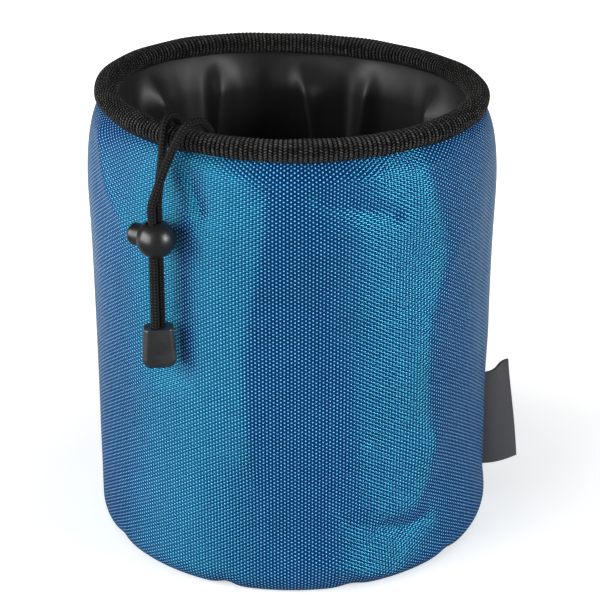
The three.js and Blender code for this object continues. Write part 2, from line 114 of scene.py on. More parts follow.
# Rim
RIM_INSET = 0.00845
ROLL_RADIUS = 0.0041
TAPE_THICKNESS = 0.0008
# Reach of the painted shade from the tape's lower outer edge
TAPE_PAINTED_SHADE_REACH = 0.0055
FILLER_RADIUS = 0.0026
FILLER_WAVE = 0.00005
FILLER_BEATS = (600, 3)
RIM_FADE = 0.062
ROLL_FLAT = 1.12
ROLL_SHIFT = 0.0003
RIB_STEPS = 5
RIB_LEVEL = 0.6
DASH_TO_RIB = 0.56
DASH_SLANT = 0.7
TAPE_ROWS = 44
TAPE_INNER_ROWS = 10
COLLAR_THICKNESS = 0.0008
RIM_RADIUS = WALL_RADIUS - RIM_INSET
RIM_Z = BAG_HEIGHT - ROLL_RADIUS
TAPE_SLIT = WALL_THICKNESS + COLLAR_THICKNESS + 3 * GAP
FILLER_LIFT = ROLL_RADIUS - TAPE_THICKNESS - GAP - FILLER_RADIUS
EDGE_Z = RIM_Z + FILLER_LIFT - FILLER_RADIUS - GAP
NECK_Z = RIM_Z - ROLL_RADIUS
NECK_RADIUS = RIM_RADIUS + TAPE_SLIT / 2 - GAP

# Cord
CORD_RADIUS = 0.00155
CORD_DEGREES = -35.8
CORD_STAND = 0.0050
BRAID_RELIEF = 0.0004
BRAID_LEVEL = 0.70
HEM_CORD_POINTS = 2400
HEM_CORD_RINGS = 900
HEM_CORD_SIDES = 24
CORD_ANGLE = math.radians(CORD_DEGREES)
CORD_REACH = WALL_RADIUS + CORD_STAND
CORD_PITCH = 2 * CORD_RADIUS + GAP
INNER_REACH = CORD_REACH - CORD_PITCH / 2
OUTER_REACH = CORD_REACH + CORD_PITCH / 2

# Cord lock
LOCK_RADIUS = 0.0072
LOCK_Z = 0.1440
LOCK_FLAT = 0.0050
LOCK_RISE = 0.0050
LOCK_LIP = 0.0004
BORE_FLARE = 0.0006
FLARE_FROM = 0.0048
SLOT_REACH = 0.010
SLOT_SIDES = 48
SLOT_ROWS = 33
BUTTON_RADIUS = 0.0042
BUTTON_PROUD = 0.0060
BUTTON_ROUND = 0.0016
BUTTON_EDGE = 0.0003
BUTTON_TRAVEL = 0.0018
BUTTON_WEB = 0.0008
HOLE_CORNER = 0.0008
POCKET_DEPTH = 0.0016
POCKET_RADIUS = 0.0024
WIRE_RADIUS = 0.0002
SPRING_RADIUS = 0.0019
SPRING_TURNS = 2
BORE_RADIUS = CORD_RADIUS + BORE_FIT
BORE_HALF = CORD_PITCH / 2 + BORE_RADIUS
HOLE_TO = CORD_RADIUS + GAP
HOLE_FROM = -HOLE_TO - BUTTON_TRAVEL
BUTTON_END = HOLE_TO + BUTTON_WEB
CHAMBER_RADIUS = BUTTON_RADIUS + BUTTON_FIT
CHAMBER_END = BUTTON_END + BUTTON_TRAVEL + STOP_FIT
POCKET_END = CHAMBER_END + POCKET_DEPTH

# Cord end
END_TOP = 0.1093
END_HEIGHT = 0.0159
END_TOP_WIDTH = 0.0110
END_FOOT_WIDTH = 0.0126
END_DEPTH = 0.0074
END_CHAMFER = 0.0013
END_ROUND = 0.0036
END_LEAST_ROUND = 0.0006
END_CORNER = 0.0003
END_EDGE = 0.00035
END_EASE = 0.0001
END_FLAT = 0.0030
END_TURN = math.radians(6)
END_GRIP = 0.0100
END_STEPS = 96
PIN_RADIUS = 0.0008
PIN_LENGTH = 0.0018
PIN_SPREAD = 0.0034
PIN_HEIGHT = 0.0034
GRIP_Z = END_TOP - END_GRIP

# Drawstring collar
COLLAR_DROP = 0.0740
HEM_INSET = 0.00335
HEM_LEG = 0.0090
FOLD_COUNT = 8
FOLD_DEPTH = 0.0032
SLOT_SPREAD = math.radians(23)
SLOT_EASE = 0.035
LEG_LEAST = 0.04
COLLAR_STEPS = 512
COLLAR_ROWS = 95
COLLAR_RADIUS = NECK_RADIUS - WALL_THICKNESS - GAP
HEM_RADIUS = RIM_RADIUS - HEM_INSET
HEM_Z = RIM_Z - COLLAR_DROP
HEM_BEND = COLLAR_THICKNESS + TUNNEL_FIT + CORD_RADIUS
HEM_CENTRE = HEM_RADIUS - HEM_BEND
LEG_FOOT = HEM_CENTRE - HEM_BEND
LEG_TOP = HEM_RADIUS - 2 * COLLAR_THICKNESS - GAP

# Stitches of the hem
STITCH_PITCH = 0.0030
STITCH_SHARE = 0.42
STITCH_ARCH = 0.00018
STITCH_DROP = 0.0016
STITCH_MARGIN = 0.02
THREAD_RADIUS = 0.00016
THREAD_RINGS = 7
THREAD_SIDES = 6
THREAD_TAPER = 0.38
THREAD_FULLNESS = 0.4

# Side label
LABEL_ANGLE = math.radians(88)
LABEL_FOOT = 0.0170
LABEL_HEIGHT = 0.0420
LABEL_WIDTH = 0.0159
LABEL_THICKNESS = 0.00045
LABEL_SINK = 0.0007
LABEL_ROOT = 0.0016
LABEL_CURL_FOOT = math.radians(38)
LABEL_CURL_TOP = math.radians(70)
LABEL_TOP_WAVE = 0.62
LABEL_RIPPLE = 0.05
LABEL_RIPPLE_TURNS = (3.1, 2.0)
LABEL_ROWS = 60
LABEL_COLUMNS = 40

# Draw and groove of the wall's side seam, at the label
SEAM_DRAW = 0.0011
SEAM_SPREAD = math.radians(16)
SEAM_FOOT = (0.008, 0.022)
SEAM_HEAD = (0.052, 0.085)
GROOVE_DEPTH = 0.0007
GROOVE_WIDTH = 0.0009

# Dent of the wall behind the cord lock, and how far the folds stay clear of it
DENT_WIDTH = math.radians(8)
DENT_FADE = 0.016
DENT_DEPTH = LOCK_RADIUS + LOCK_FIT - CORD_STAND
DENT_FROM = END_TOP - END_HEIGHT + GAP
DENT_TO = LOCK_Z + LOCK_RISE + LOCK_RADIUS
DENT_CLEAR = math.radians(7)

# Points of the two strands: angle in degrees, distance from the axis, height
LEFT_ROUTE = (
    (-47.0, 0.0651, 0.1046),
    (-44.9, 0.0660, 0.1050),
    (-42.7, 0.0666, 0.1070),
    (-41.5, 0.0668, 0.1110),
    (-41.1, 0.0664, 0.1200),
    (-40.7, 0.0656, 0.1400),
    (-40.3, 0.0644, 0.1600),
    (-40.0, 0.0634, 0.1720),
    (-39.8, 0.0638, 0.1802),
    (-39.4, 0.0668, 0.1842),
    (-38.9, 0.0706, 0.1858),
    (-37.9, 0.0746, 0.1840),
    (-36.9, 0.0774, 0.1796),
    (-36.6, 0.0786, 0.1740),
    (-36.6, 0.0796, 0.1684),
    (-36.3, 0.0813, 0.1634),
    (CORD_DEGREES, INNER_REACH, 0.1570),
    (CORD_DEGREES, INNER_REACH, 0.1500),
    (CORD_DEGREES, INNER_REACH, 0.1300),
    (CORD_DEGREES, INNER_REACH, GRIP_Z),
)
RIGHT_ROUTE = (
    (-24.6, 0.0651, 0.1046),
    (-26.7, 0.0660, 0.1050),
    (-28.9, 0.0666, 0.1070),
    (-30.1, 0.0668, 0.1110),
    (-30.4, 0.0664, 0.1200),
    (-29.8, 0.0656, 0.1400),
    (-28.6, 0.0644, 0.1600),
    (-27.9, 0.0636, 0.1720),
    (-27.7, 0.0640, 0.1800),
    (-28.3, 0.0666, 0.1839),
    (-29.3, 0.0702, 0.1857),
    (-30.4, 0.0743, 0.1853),
    (-31.6, 0.0780, 0.1812),
    (-33.0, 0.0806, 0.1750),
    (-34.0, 0.0828, 0.1694),
    (-34.8, 0.0850, 0.1634),
    (CORD_DEGREES, OUTER_REACH, 0.1570),
    (CORD_DEGREES, OUTER_REACH, 0.1500),
    (CORD_DEGREES, OUTER_REACH, 0.1300),
    (CORD_DEGREES, OUTER_REACH, GRIP_Z),
)
# Stretch of a strand over which the start of its rings turns from outward to onward round the bag
RING_TURN = (0.020, 0.070)

# Waves of the soft rim, out of round and up: count round the bag, height and angle of a crest in degrees
RIM_OUT_WAVES = ((2, 0.00115, 67), (3, 0.0006, 13))
RIM_UP_WAVES = ((1, 0.0010, -107), (2, 0.00085, 58))
# Slack of the rim tape: count round the bag, height and phase in radians
TAPE_SLACK = ((7, 0.00012, 1.0), (17, 0.0001, 0.0))
# Slack of the wall, as a crossed and a slanted wave: height, count round the bag and lean in radians per
# metre of height. The crossed wave also beats, in radians per metre of height.
CROSSED_SLACK = (0.00025, 9, 30)
CROSSED_BEAT = 22
SLANTED_SLACK = (0.0002, 5, -41)

# Folds and wrinkles of the wall: width, how far the cloth stands out along the line, how round the crest
# is as a share of the width, and the points of the line as angle in degrees and height
WALL_FOLDS = (
    (0.0080, 0.0018, 0.35, ((-25.0, 0.1780), (-13.9, 0.1712), (-6.8, 0.1639), (-6.9, 0.1506), (-9.7, 0.1261),
                            (-12.5, 0.0998), (-12.0, 0.0600))),
    (0.0080, 0.0019, 0.90, ((36.6, 0.1688), (41.0, 0.1537), (46.6, 0.1359), (43.1, 0.1213), (39.6, 0.1085),
                            (38.5, 0.0800), (41.0, 0.0576))),
    (0.0036, -0.0016, 0.25, ((6.5, 0.1620), (13.3, 0.1595), (27.2, 0.1535))),
    (0.0040, 0.0014, 0.25, ((8.3, 0.1686), (23.4, 0.1696))),
    (0.0035, -0.0024, 0.25, ((-32.0, 0.1710), (-26.5, 0.1555))),
    (0.0045, 0.0016, 0.25, ((-71.5, 0.1717), (-65.5, 0.1635), (-60.4, 0.1530), (-53.5, 0.1440))),
    (0.0060, 0.0016, 0.50, ((41.0, 0.0576), (40.0, 0.0430), (36.0, 0.0330), (26.0, 0.0300))),
    (0.0040, -0.0026, 0.25, ((26.0, 0.0258), (33.0, 0.0220), (40.0, 0.0232))),
    (0.0045, -0.0010, 0.25, ((12.8, 0.0350), (23.1, 0.0229))),
    (0.0100, 0.0011, 0.50, ((2.0, 0.1660), (4.0, 0.1400), (8.0, 0.1100), (14.0, 0.0850), (17.0, 0.0600))),
    (0.0050, 0.0016, 0.25, ((2.0, 0.0165), (20.0, 0.0070), (31.0, 0.0035))),
    (0.0100, 0.0008, 0.50, ((-70.0, 0.1500), (-66.0, 0.0900), (-72.0, 0.0400))),
    (0.0080, -0.0008, 0.50, ((70.0, 0.1500), (66.0, 0.1100), (72.0, 0.0700))),
    (0.0090, 0.0009, 0.50, ((150.0, 0.1700), (143.0, 0.1300), (148.0, 0.0700))),
    (0.0080, -0.0008, 0.50, ((-170.0, 0.1600), (-176.0, 0.1200), (-168.0, 0.0600))),
    (0.0090, 0.0010, 0.50, ((-128.0, 0.1720), (-122.0, 0.1250), (-126.0, 0.0750))),
    (0.0030, 0.0005, 0.25, ((132.0, 0.1720), (121.0, 0.1560))),
    (0.0030, 0.0005, 0.25, ((-141.0, 0.1700), (-150.0, 0.1510))),
    (0.0035, -0.0008, 0.25, ((104.0, 0.0300), (114.0, 0.0240))),
    (0.0035, -0.0008, 0.25, ((-112.0, 0.0300), (-104.0, 0.0230))),
)
# The folds end this far above the floor and below the neck
FOLD_FOOT = 0.007
FOLD_HEAD = 0.006

# Puckers of the bottom edge: angle and half width in degrees, and how far the edge lifts. They end at a
# height, and draw the edge in by a share of the lift.
BASE_PUCKERS = ((-20, 3.0, 0.0011), (17, 3.5, 0.0008), (52, 4.0, 0.0007), (-62, 4.0, 0.0008),
                (118, 5.0, 0.0007), (170, 4.0, 0.0008), (-115, 4.5, 0.0007))
PUCKER_TOP = 0.016
PUCKER_DRAW = 0.6

# Gathers of the collar: angle, lean over a run and half width in degrees, and depth. Their crests are
# round over a share of the width, and they grow and fade over heights below the rim.
COLLAR_GATHERS = (
    (-8, 6, 4, 0.0040), (14, -5, 5, 0.0050), (41, 8, 5, 0.0050), (66, -14, 6, 0.0100), (96, 6, 5, 0.0060),
    (122, -6, 7, 0.0070), (150, 7, 5, 0.0050), (178, -8, 7, 0.0080), (-153, 5, 5, 0.0050),
    (-124, -7, 6, 0.0070), (-97, 8, 5, 0.0050), (-70, -6, 5, 0.0060),
)
GATHER_CREST = 0.25
GATHER_RUN = 0.05
GATHER_GROWTH = (0.0, 0.016)
GATHER_FADE = (0.034, 0.060)
# Small wrinkles of the collar: count round the bag, phase in radians and depth
COLLAR_WRINKLES = ((13, 2.1, 0.0008), (21, 4.0, 0.0006), (34, 0.4, 0.0003))
# They sway by this many radians per metre below the rim, to and fro this often round the bag
WRINKLE_SWAY = 9
WRINKLE_SWAY_COUNT = 3


# Lines and surfaces


def ease(value, low, high):
    """Smooth step from 0 at low to 1 at high."""
    share = np.clip((value - low) / (high - low), 0, 1)
    return share * share * (3 - 2 * share)


def bell(value, width):
    """Bell curve: 1 at zero, and 1/e at the width."""
    return np.exp(-(value / width) ** 2)


def crested(away, crest):
    """Fold of height 1: its crest is round over a share of its width, and it dies out to both sides."""
    return np.exp(crest - np.hypot(away, crest))


def polar(angle, radius, z):
    """Points at an angle round the bag, a distance from its axis and a height."""
    angle, radius, z = np.broadcast_arrays(angle, radius, z)
    return np.stack([radius * np.sin(angle), -radius * np.cos(angle), z], axis=-1)


def around(count):
    """Angles of a full turn, in equal steps."""
    return np.linspace(-math.pi, math.pi, count, endpoint=False)


def turn_from(angle, centre):
    """Signed angle from a centre, from minus half a turn to half a turn."""
    return (angle - centre + math.pi) % (2 * math.pi) - math.pi


def bend(centre, radii, start, stop, count):
    """Points of an elliptic arc between two angles in degrees."""
    angle = np.radians(np.linspace(start, stop, count))
    return np.stack([centre[0] + radii[0] * np.cos(angle), centre[1] + radii[1] * np.sin(angle)], axis=-1)


def run_lengths(line):
    """Distance along a line at each of its points."""
    return np.concatenate([[0], np.cumsum(np.linalg.norm(np.diff(line, axis=0), axis=1))])


def closed_lengths(outline):
    """Distance along a closed outline at each of its points, and its whole length."""
    return run_lengths(np.concatenate([outline, outline[:1]]))


def closed_turn(steps, radius):
    """Distance round the bag at each of a count of steps, and at the end of the turn."""
    return np.append(around(steps), math.pi) * radius


def evenly(line, count):
    """The line again, with a count of points at equal distances along it."""
    along = run_lengths(line)
    places = np.linspace(0, along[-1], count)
    return np.stack([np.interp(places, along, axis) for axis in line.T], axis=-1)


def beside(line, distance):
    """The line moved to its right by a distance, along its normals."""
    along = np.gradient(line, axis=0)
    along /= np.linalg.norm(along, axis=1, keepdims=True)
    return line + distance * np.stack([along[:, 1], -along[:, 0]], axis=-1)


def thickened(line, thickness, front_count, back_count, dense_count=400):
    """Closed outline: the line, then the same line a thickness to its right, walked back."""
    dense = evenly(line, dense_count)
    back = evenly(beside(dense, thickness), back_count)
    return np.concatenate([evenly(line, front_count), back[::-1]])


def smooth_route(route, spacing, span_steps=40):
    """Points at equal distances on the centripetal Catmull-Rom curve through a route round the bag.

    Each span is the cubic whose end slopes are the mean of the slopes of the neighbouring spans, weighted
    by the square roots of their lengths."""
    angle, radius, z = np.array(route).T
    knots = polar(np.radians(angle), radius, z)
    knots = np.concatenate([[2 * knots[0] - knots[1]], knots, [2 * knots[-1] - knots[-2]]])
    gaps = np.sqrt(np.linalg.norm(np.diff(knots, axis=0), axis=1))[:, None]
    slopes = np.diff(knots, axis=0) / gaps
    wide = knots[2:] - knots[:-2]
    mean = slopes[:-1] - wide / (gaps[:-1] + gaps[1:]) + slopes[1:]
    first, last = mean[:-1] * gaps[1:-1], mean[1:] * gaps[1:-1]
    t = np.linspace(0, 1, span_steps, endpoint=False)[None, :, None]
    a, b = knots[1:-2, None], knots[2:-1, None]
    first, last = first[:, None], last[:, None]
    curve = ((2 * t**3 - 3 * t**2 + 1) * a + (t**3 - 2 * t**2 + t) * first
             + (3 * t**2 - 2 * t**3) * b + (t**3 - t**2) * last)
    line = np.concatenate([curve.reshape(-1, 3), knots[-2:-1]])
    return evenly(line, int(run_lengths(line)[-1] / spacing) + 1)


def weave_relief(x, y):
    """Height of a plain weave with yarns at whole numbers of x and y, from 0 to 1.

    Each yarn has a half-ellipse section and rides up and down on a cosine, one yarn out of step with the
    next, and the upper of the two crossing yarns shows."""
    column, row = np.floor(x), np.floor(y)
    across, along = 2 * (x - column) - 1, 2 * (y - row) - 1
    warp = np.cos(math.pi * (y - 0.5 + column)) + np.sqrt(1 - across**2)
    weft = -np.cos(math.pi * (x - 0.5 + row)) + np.sqrt(1 - along**2)
    return (np.maximum(warp, weft) + 1) / 3


# Meshes


def grid_faces(rows, columns, wrap_rows, wrap_columns):
    """Corner indices of the quads of a grid, and the row and column of each corner counted past the seam."""
    row, column = np.meshgrid(np.arange(rows if wrap_rows else rows - 1),
                              np.arange(columns if wrap_columns else columns - 1), indexing="ij")
    corner_row = np.stack([row, row + 1, row + 1, row], axis=-1).reshape(-1, 4)
    corner_column = np.stack([column, column, column + 1, column + 1], axis=-1).reshape(-1, 4)
    return (corner_row % rows) * columns + corner_column % columns, corner_row, corner_column


def outward(points, faces):
    """True if the faces of a closed skin point outward, by the sign of its volume."""
    a, b, c, d = (points[faces[:, k]] for k in range(4))
    return float(((a * np.cross(b, c)).sum() + (a * np.cross(c, d)).sum())) > 0


def link_object(name, data):
    """A new object in the scene that holds a mesh, a lamp or a camera."""
    holder = bpy.data.objects.new(name, data)
    bpy.context.scene.collection.objects.link(holder)
    return holder


def grid_piece(name, points, wrap=(True, True), cloth=None, inside=None, caps=False):
    """A piece whose skin is a grid of points, with rows and columns joined end to end where wrap says so.

    cloth gives the row and column places of the UV map in metres, with one more than the points where the
    grid wraps. Columns from inside on take the second material. caps closes both ends of the rows of a
    thickened line."""
    rows, columns = points.shape[:2]
    faces, corner_row, corner_column = grid_faces(rows, columns, *wrap)
    if caps:
        near = np.arange(columns // 2 - 1)
        cap = np.stack([near, near + 1, columns - 2 - near, columns - 1 - near], axis=-1)
        faces = np.concatenate([faces, cap[:, ::-1], cap + (rows - 1) * columns])
        corner_row = np.concatenate([corner_row, 0 * cap, 0 * cap + rows - 1])
        corner_column = np.concatenate([corner_column, cap[:, ::-1], cap])
    skin = points.reshape(-1, 3)
    turn = slice(None) if outward(skin, faces) else slice(None, None, -1)
    mesh = bpy.data.meshes.new(name)
    mesh.vertices.add(len(skin))
    mesh.vertices.foreach_set("co", skin.astype(np.float32).ravel())
    mesh.loops.add(faces.size)
    mesh.loops.foreach_set("vertex_index", faces[:, turn].astype(np.int32).ravel())
    mesh.polygons.add(len(faces))
    mesh.polygons.foreach_set("loop_start", np.arange(0, faces.size, 4, dtype=np.int32))
    if inside is not None:
        mesh.polygons.foreach_set("material_index", (corner_column[:, 0] >= inside).astype(np.int32))
    if cloth is not None:
        places = np.stack([cloth[0][corner_row], cloth[1][corner_column]], axis=-1)[:, turn]
        mesh.uv_layers.new(name="Cloth").uv.foreach_set("vector", places.astype(np.float32).ravel())
    mesh.update(calc_edges=True)
    mesh.validate()
    mesh.shade_smooth()
    return link_object(name, mesh)


def close_poles(piece):
    """Joins the points of each pole of a piece into one."""
    shell = bmesh.new()
    shell.from_mesh(piece.data)
    bmesh.ops.remove_doubles(shell, verts=shell.verts, dist=1e-7)
    bmesh.ops.dissolve_degenerate(shell, edges=shell.edges, dist=1e-8)
    shell.to_mesh(piece.data)
    shell.free()
    return piece


def turned_piece(name, profile, steps, place=None):
    """A piece turned about Z from a profile of distances and heights that starts and ends on the axis.

    place moves the turned points to where the piece sits."""
    points = polar(around(steps)[:, None], profile[None, :, 0], profile[None, :, 1])
    return close_poles(grid_piece(name, place(points) if place else points, (True, False)))


def tube_piece(name, line, side, relief, sides, closed=False):
    """A round cord along a line: at each point a ring of the radius that relief gives for the distance
    along the line and the angle round it. The ring starts on the side direction, turned square to the
    line."""
    tangent = np.gradient(line, axis=0)
    if closed:
        tangent = np.roll(line, -1, axis=0) - np.roll(line, 1, axis=0)
    tangent /= np.linalg.norm(tangent, axis=1, keepdims=True)
    first = side - (side * tangent).sum(1, keepdims=True) * tangent
    first /= np.linalg.norm(first, axis=1, keepdims=True)
    second = np.cross(tangent, first)
    angle = around(sides)
    along = run_lengths(line)
    radius = np.broadcast_to(relief(along[:, None], angle[None, :]), (len(line), sides)).copy()
    if not closed:
        radius[[0, -1]] = 0
    ring = first[:, None] * np.cos(angle)[:, None] + second[:, None] * np.sin(angle)[:, None]
    points = line[:, None] + radius[..., None] * ring
    last = along[-1] + np.linalg.norm(line[0] - line[-1])
    cloth = (np.append(along, last), closed_turn(sides, CORD_RADIUS))
    piece = grid_piece(name, points, (closed, True), cloth)
    return piece if closed else close_poles(piece)


def carve(piece, tools, operation="DIFFERENCE"):
    """Cuts the tools out of a piece, or joins them to it, and deletes them."""
    for tool in tools:
        cut = piece.modifiers.new(tool.name, "BOOLEAN")
        cut.operation, cut.solver, cut.object = operation, "EXACT", tool
    shown = piece.evaluated_get(bpy.context.evaluated_depsgraph_get())
    finished = bpy.data.meshes.new_from_object(shown)
    piece.modifiers.clear()
    piece.data = finished
    for tool in tools:
        bpy.data.objects.remove(tool)
    if not len(finished.polygons):
        raise RuntimeError(f"nothing is left of {piece.name} after its cut")


def crisp(piece, degrees):
    """Smooth shading with edges kept sharp where the faces turn by more than an angle."""
    piece.data.shade_smooth()
    piece.data.set_sharp_from_angle(angle=math.radians(degrees))


def finish_piece(piece, body, materials, nodes=()):
    """Gives a piece its materials and the body it rides on, and hides the solids that it stands for."""
    if piece.data.materials:
        piece.data.materials.clear()
    for material in materials:
        piece.data.materials.append(material)
    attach(piece, body)
    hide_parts(*nodes)
    return piece


# Shapes that the pieces share


def waves(angle, table):
    """Sum of cosine waves round the bag: count, height and angle of a crest in degrees."""
    return sum(height * np.cos(count * (angle - math.radians(crest))) for count, height, crest in table)


def rim_out(angle):
    """How far the soft rim stands out of round."""
    return waves(angle, RIM_OUT_WAVES)


def rim_up(angle):
    """How far the soft rim rises."""
    return waves(angle, RIM_UP_WAVES)


def fold_shift(angle, z):
    """Main folds of the collar: a cosine round the bag that grows from the rim down to the hem."""
    return (1 - ease(z, HEM_Z, NECK_Z)) * FOLD_DEPTH * np.cos(FOLD_COUNT * (angle - CORD_ANGLE))


def turned_about_z(points, turn, centre):
    """Turns points about the upright axis and moves them to a centre."""
    cosine, sine = math.cos(turn), math.sin(turn)
    x, y, z = points[..., 0], points[..., 1], points[..., 2]
    return centre + np.stack([cosine * x - sine * y, sine * x + cosine * y, z], axis=-1)


def from_lock(points):
    """Moves points from the lock's axes (X from the button to the closed end, Y to the bag) to the bag's."""
    return turned_about_z(points, CORD_ANGLE, polar(CORD_ANGLE, CORD_REACH, LOCK_Z))


def lock_place(points):
    """Moves points that are turned about Z to the lock, with their Z on the button's line."""
    return from_lock(points[..., [2, 0, 1]])


def from_end(points):
    """Moves points from the cord end's axes, with its front at -Y and its foot at zero, to the bag's."""
    return turned_about_z(points, END_TURN, polar(CORD_ANGLE, CORD_REACH, END_TOP - END_HEIGHT))


# Shader nodes


class Net:
    """Adds nodes to one tree. An input given as a socket is linked, and any other value is set."""

    def __init__(self, tree):
        self.tree = tree

    def fill(self, node, inputs):
        for key, value in inputs.items():
            socket = node.inputs[key]
            if isinstance(value, bpy.types.NodeSocket):
                self.tree.links.new(value, socket)
            else:
                socket.default_value = value
        return node

    def add(self, kind, inputs=None, **options):
        node = self.tree.nodes.new("ShaderNode" + kind)
        for key, value in options.items():
            setattr(node, key, value)
        return self.fill(node, inputs or {})

    def math(self, operation, *values):
        return self.add("Math", dict(enumerate(values)), operation=operation).outputs[0]

    def times(self, product, *values):
        """The product of two or more values."""
        for value in values:
            product = self.math("MULTIPLY", product, value)
        return product

    def mix(self, share, first, second, blend="MIX"):
        node = self.add("Mix", {0: share, 6: first, 7: second}, data_type="RGBA", blend_type=blend)
        return node.outputs[2]

    def blend_shaders(self, share, first, second):
        return self.add("MixShader", {0: share, 1: first, 2: second}).outputs[0]

    def between(self, value, given, wanted=(0.0, 1.0)):
        """A smooth step over a given range, from the first wanted value to the second."""
        inputs = {0: value, 1: given[0], 2: given[1], 3: wanted[0], 4: wanted[1]}
        return self.add("MapRange", inputs, interpolation_type="SMOOTHSTEP").outputs[0]

    def grey(self, level):
        return self.add("CombineColor", {0: level, 1: level, 2: level}).outputs[0]

    def pair(self, x, y):
        return self.add("CombineXYZ", {0: x, 1: y}).outputs[0]

    def split(self, vector):
        return self.add("SeparateXYZ", {0: vector}).outputs

    def chance(self, mark):
        """A random value for each pair of whole numbers."""
        return self.add("TexWhiteNoise", {"Vector": mark}, noise_dimensions="2D").outputs["Value"]

    def bump(self, height, depth):
        return self.add("Bump", {"Height": height, "Distance": depth, "Strength": 1.0}).outputs[0]

    def group(self, tree, inputs):
        return self.add("Group", inputs, node_tree=tree).outputs

    def uv(self):
        return self.add("UVMap", uv_map="Cloth").outputs[0]

    def spot(self):
        return self.add("TexCoord").outputs["Object"]


def new_group(name, inputs, outputs):
    """An empty node group with named sockets, its net, its input sockets and its output node."""
    tree = bpy.data.node_groups.new(name, "ShaderNodeTree")
    for label, kind in inputs:
        tree.interface.new_socket(name=label, in_out="INPUT", socket_type="NodeSocket" + kind)
    for label, kind in outputs:
        tree.interface.new_socket(name=label, in_out="OUTPUT", socket_type="NodeSocket" + kind)
    net = Net(tree)
    return tree, net, tree.nodes.new("NodeGroupInput").outputs, tree.nodes.new("NodeGroupOutput")


def weave_group():
    """Plain weave for a place measured in metres and the pitch of columns and rows.

    Each yarn has a half-ellipse section and rides up and down on a cosine, one yarn out of step with the
    next. The warp yarns fill a share of their column, ride higher and stand a little prouder; the weft
    lies nearly straight and shows between them. The upper of the two crossing yarns shows."""
    if "Plain weave" in bpy.data.node_groups:
        return bpy.data.node_groups["Plain weave"]
    tree, net, given, result = new_group(
        "Plain weave",
        (("Place", "Vector"), ("Column", "Float"), ("Row", "Float"), ("Fill", "Float")),
        (("Height", "Float"), ("Warp", "Float"), ("Yarn", "Float")),
    )
    place = net.split(given["Place"])
    x = net.math("DIVIDE", place[0], given["Column"])
    y = net.math("DIVIDE", place[1], given["Row"])
    column, row = net.math("FLOOR", x), net.math("FLOOR", y)

    def yarn(own, own_count, other, fill, ride_height):
        """Height of one yarn: the half ellipse of its section on the cosine that it rides."""
        across = net.math("MULTIPLY_ADD", net.math("SUBTRACT", own, own_count), 2.0, -1.0)
        across = net.math("DIVIDE", across, fill)
        room = net.math("MAXIMUM", net.math("SUBTRACT", 1.0, net.times(across, across)), 0.0)
        phase = net.math("ADD", net.math("SUBTRACT", other, 0.5), own_count)
        ride = net.math("COSINE", net.times(phase, math.pi))
        return net.math("MULTIPLY_ADD", ride, ride_height, net.math("SQRT", room)), room

    warp, inside = yarn(x, column, y, given["Fill"], 1.0)
    warp = net.math("ADD", net.between(inside, (0.0, 0.3)), net.math("SUBTRACT", warp, 0.7))
    weft, _ = yarn(y, row, x, 1.0, -0.25)
    top = net.math("MAXIMUM", warp, weft)
    is_warp = net.between(net.math("SUBTRACT", warp, weft), (-0.15, 0.15))
    mark = net.pair(net.times(column, is_warp), net.times(row, net.math("SUBTRACT", 1.0, is_warp)))
    height = net.math("DIVIDE", net.math("ADD", top, 0.5), 2.8)
    net.fill(result, {"Height": height, "Warp": is_warp, "Yarn": net.chance(mark)})
    return tree


def cloud_group():
    """Slow uneven tone of a used surface: two sizes of noise on object coordinates, about 0.5 on average."""
    if "Uneven tone" in bpy.data.node_groups:
        return bpy.data.node_groups["Uneven tone"]
    tree, net, given, result = new_group("Uneven tone", (("Size", "Float"),), (("Tone", "Float"),))
    scale = net.math("DIVIDE", 1.0, given["Size"])
    broad = net.add("TexNoise", {"Vector": net.spot(), "Scale": scale, "Detail": 2.0}).outputs[0]
    fine = net.add("TexNoise", {"Vector": net.spot(), "Scale": net.times(scale, 7.0)}).outputs[0]
    net.fill(result, {"Tone": net.math("MULTIPLY_ADD", net.math("SUBTRACT", fine, 0.5), 0.4, broad)})
    return tree


def new_material(name, sockets):
    """A material with a Principled shader whose plain values are set on its own sockets."""
    material = bpy.data.materials.new(name)
    material.use_nodes = True
    net = Net(material.node_tree)
    shader = material.node_tree.nodes["Principled BSDF"]
    net.fill(shader, sockets)
    return material, net, shader


def shared_material(name, make):
    """The material of a name, made when the first piece asks for it."""
    return bpy.data.materials.get(name) or make(name)


def opaque(colour):
    """The colour with full alpha."""
    return (*colour, 1.0)


def woven_material(name, pitch, yarns, depth, sockets, gap, fill=1.0, crown=0.7, place=Net.uv):
    """Woven cloth: two yarn colours, uneven from yarn to yarn, with the yarns raised. The warp's colour
    shows on the warp's crowns as yarn colour and painted highlight, and painted shade darkens the gaps
    between yarns.

    pitch gives the columns and rows in metres and yarns the colours of warp and weft, the warp's with its
    painted highlight. depth is the height of the yarns, gap the brightness that the painted shade leaves
    in a gap, fill the share of a column that its yarn fills, and crown the height at which the warp's
    colour and painted highlight start. place gives the place on the cloth."""
    material, net, shader = new_material(name, sockets)
    weave = net.group(weave_group(), {"Place": place(net), "Column": pitch[0], "Row": pitch[1],
                                      "Fill": fill})
    cloud = net.group(cloud_group(), {"Size": 0.05})["Tone"]
    # Painted highlight: the warp's light colour goes on the warp's crowns, on top of the yarn's own blue
    warp_colour_and_highlight = net.times(weave["Warp"], net.between(weave["Height"], (crown, 0.97)))
    yarn = net.mix(warp_colour_and_highlight, opaque(yarns[1]), opaque(yarns[0]))
    # Painted shade: darker where the yarns lie low, in the gaps between them
    shade = net.between(weave["Height"], (0.12, 0.65), (gap, 1.2))
    tone = net.times(net.between(weave["Yarn"], (0.0, 1.0), (0.95, 1.05)),
                     net.between(cloud, (0.2, 0.8), (0.88, 1.12)))
    colour = net.mix(1.0, yarn, net.grey(net.times(shade, tone)), "MULTIPLY")
    net.fill(shader, {"Base Color": colour, "Normal": net.bump(weave["Height"], depth)})
    return material


def braid_place(net):
    """Turns the place along and round a cord to the two directions of its braid."""
    place = net.split(net.uv())
    return net.pair(net.math("ADD", place[0], place[1]), net.math("SUBTRACT", place[0], place[1]))


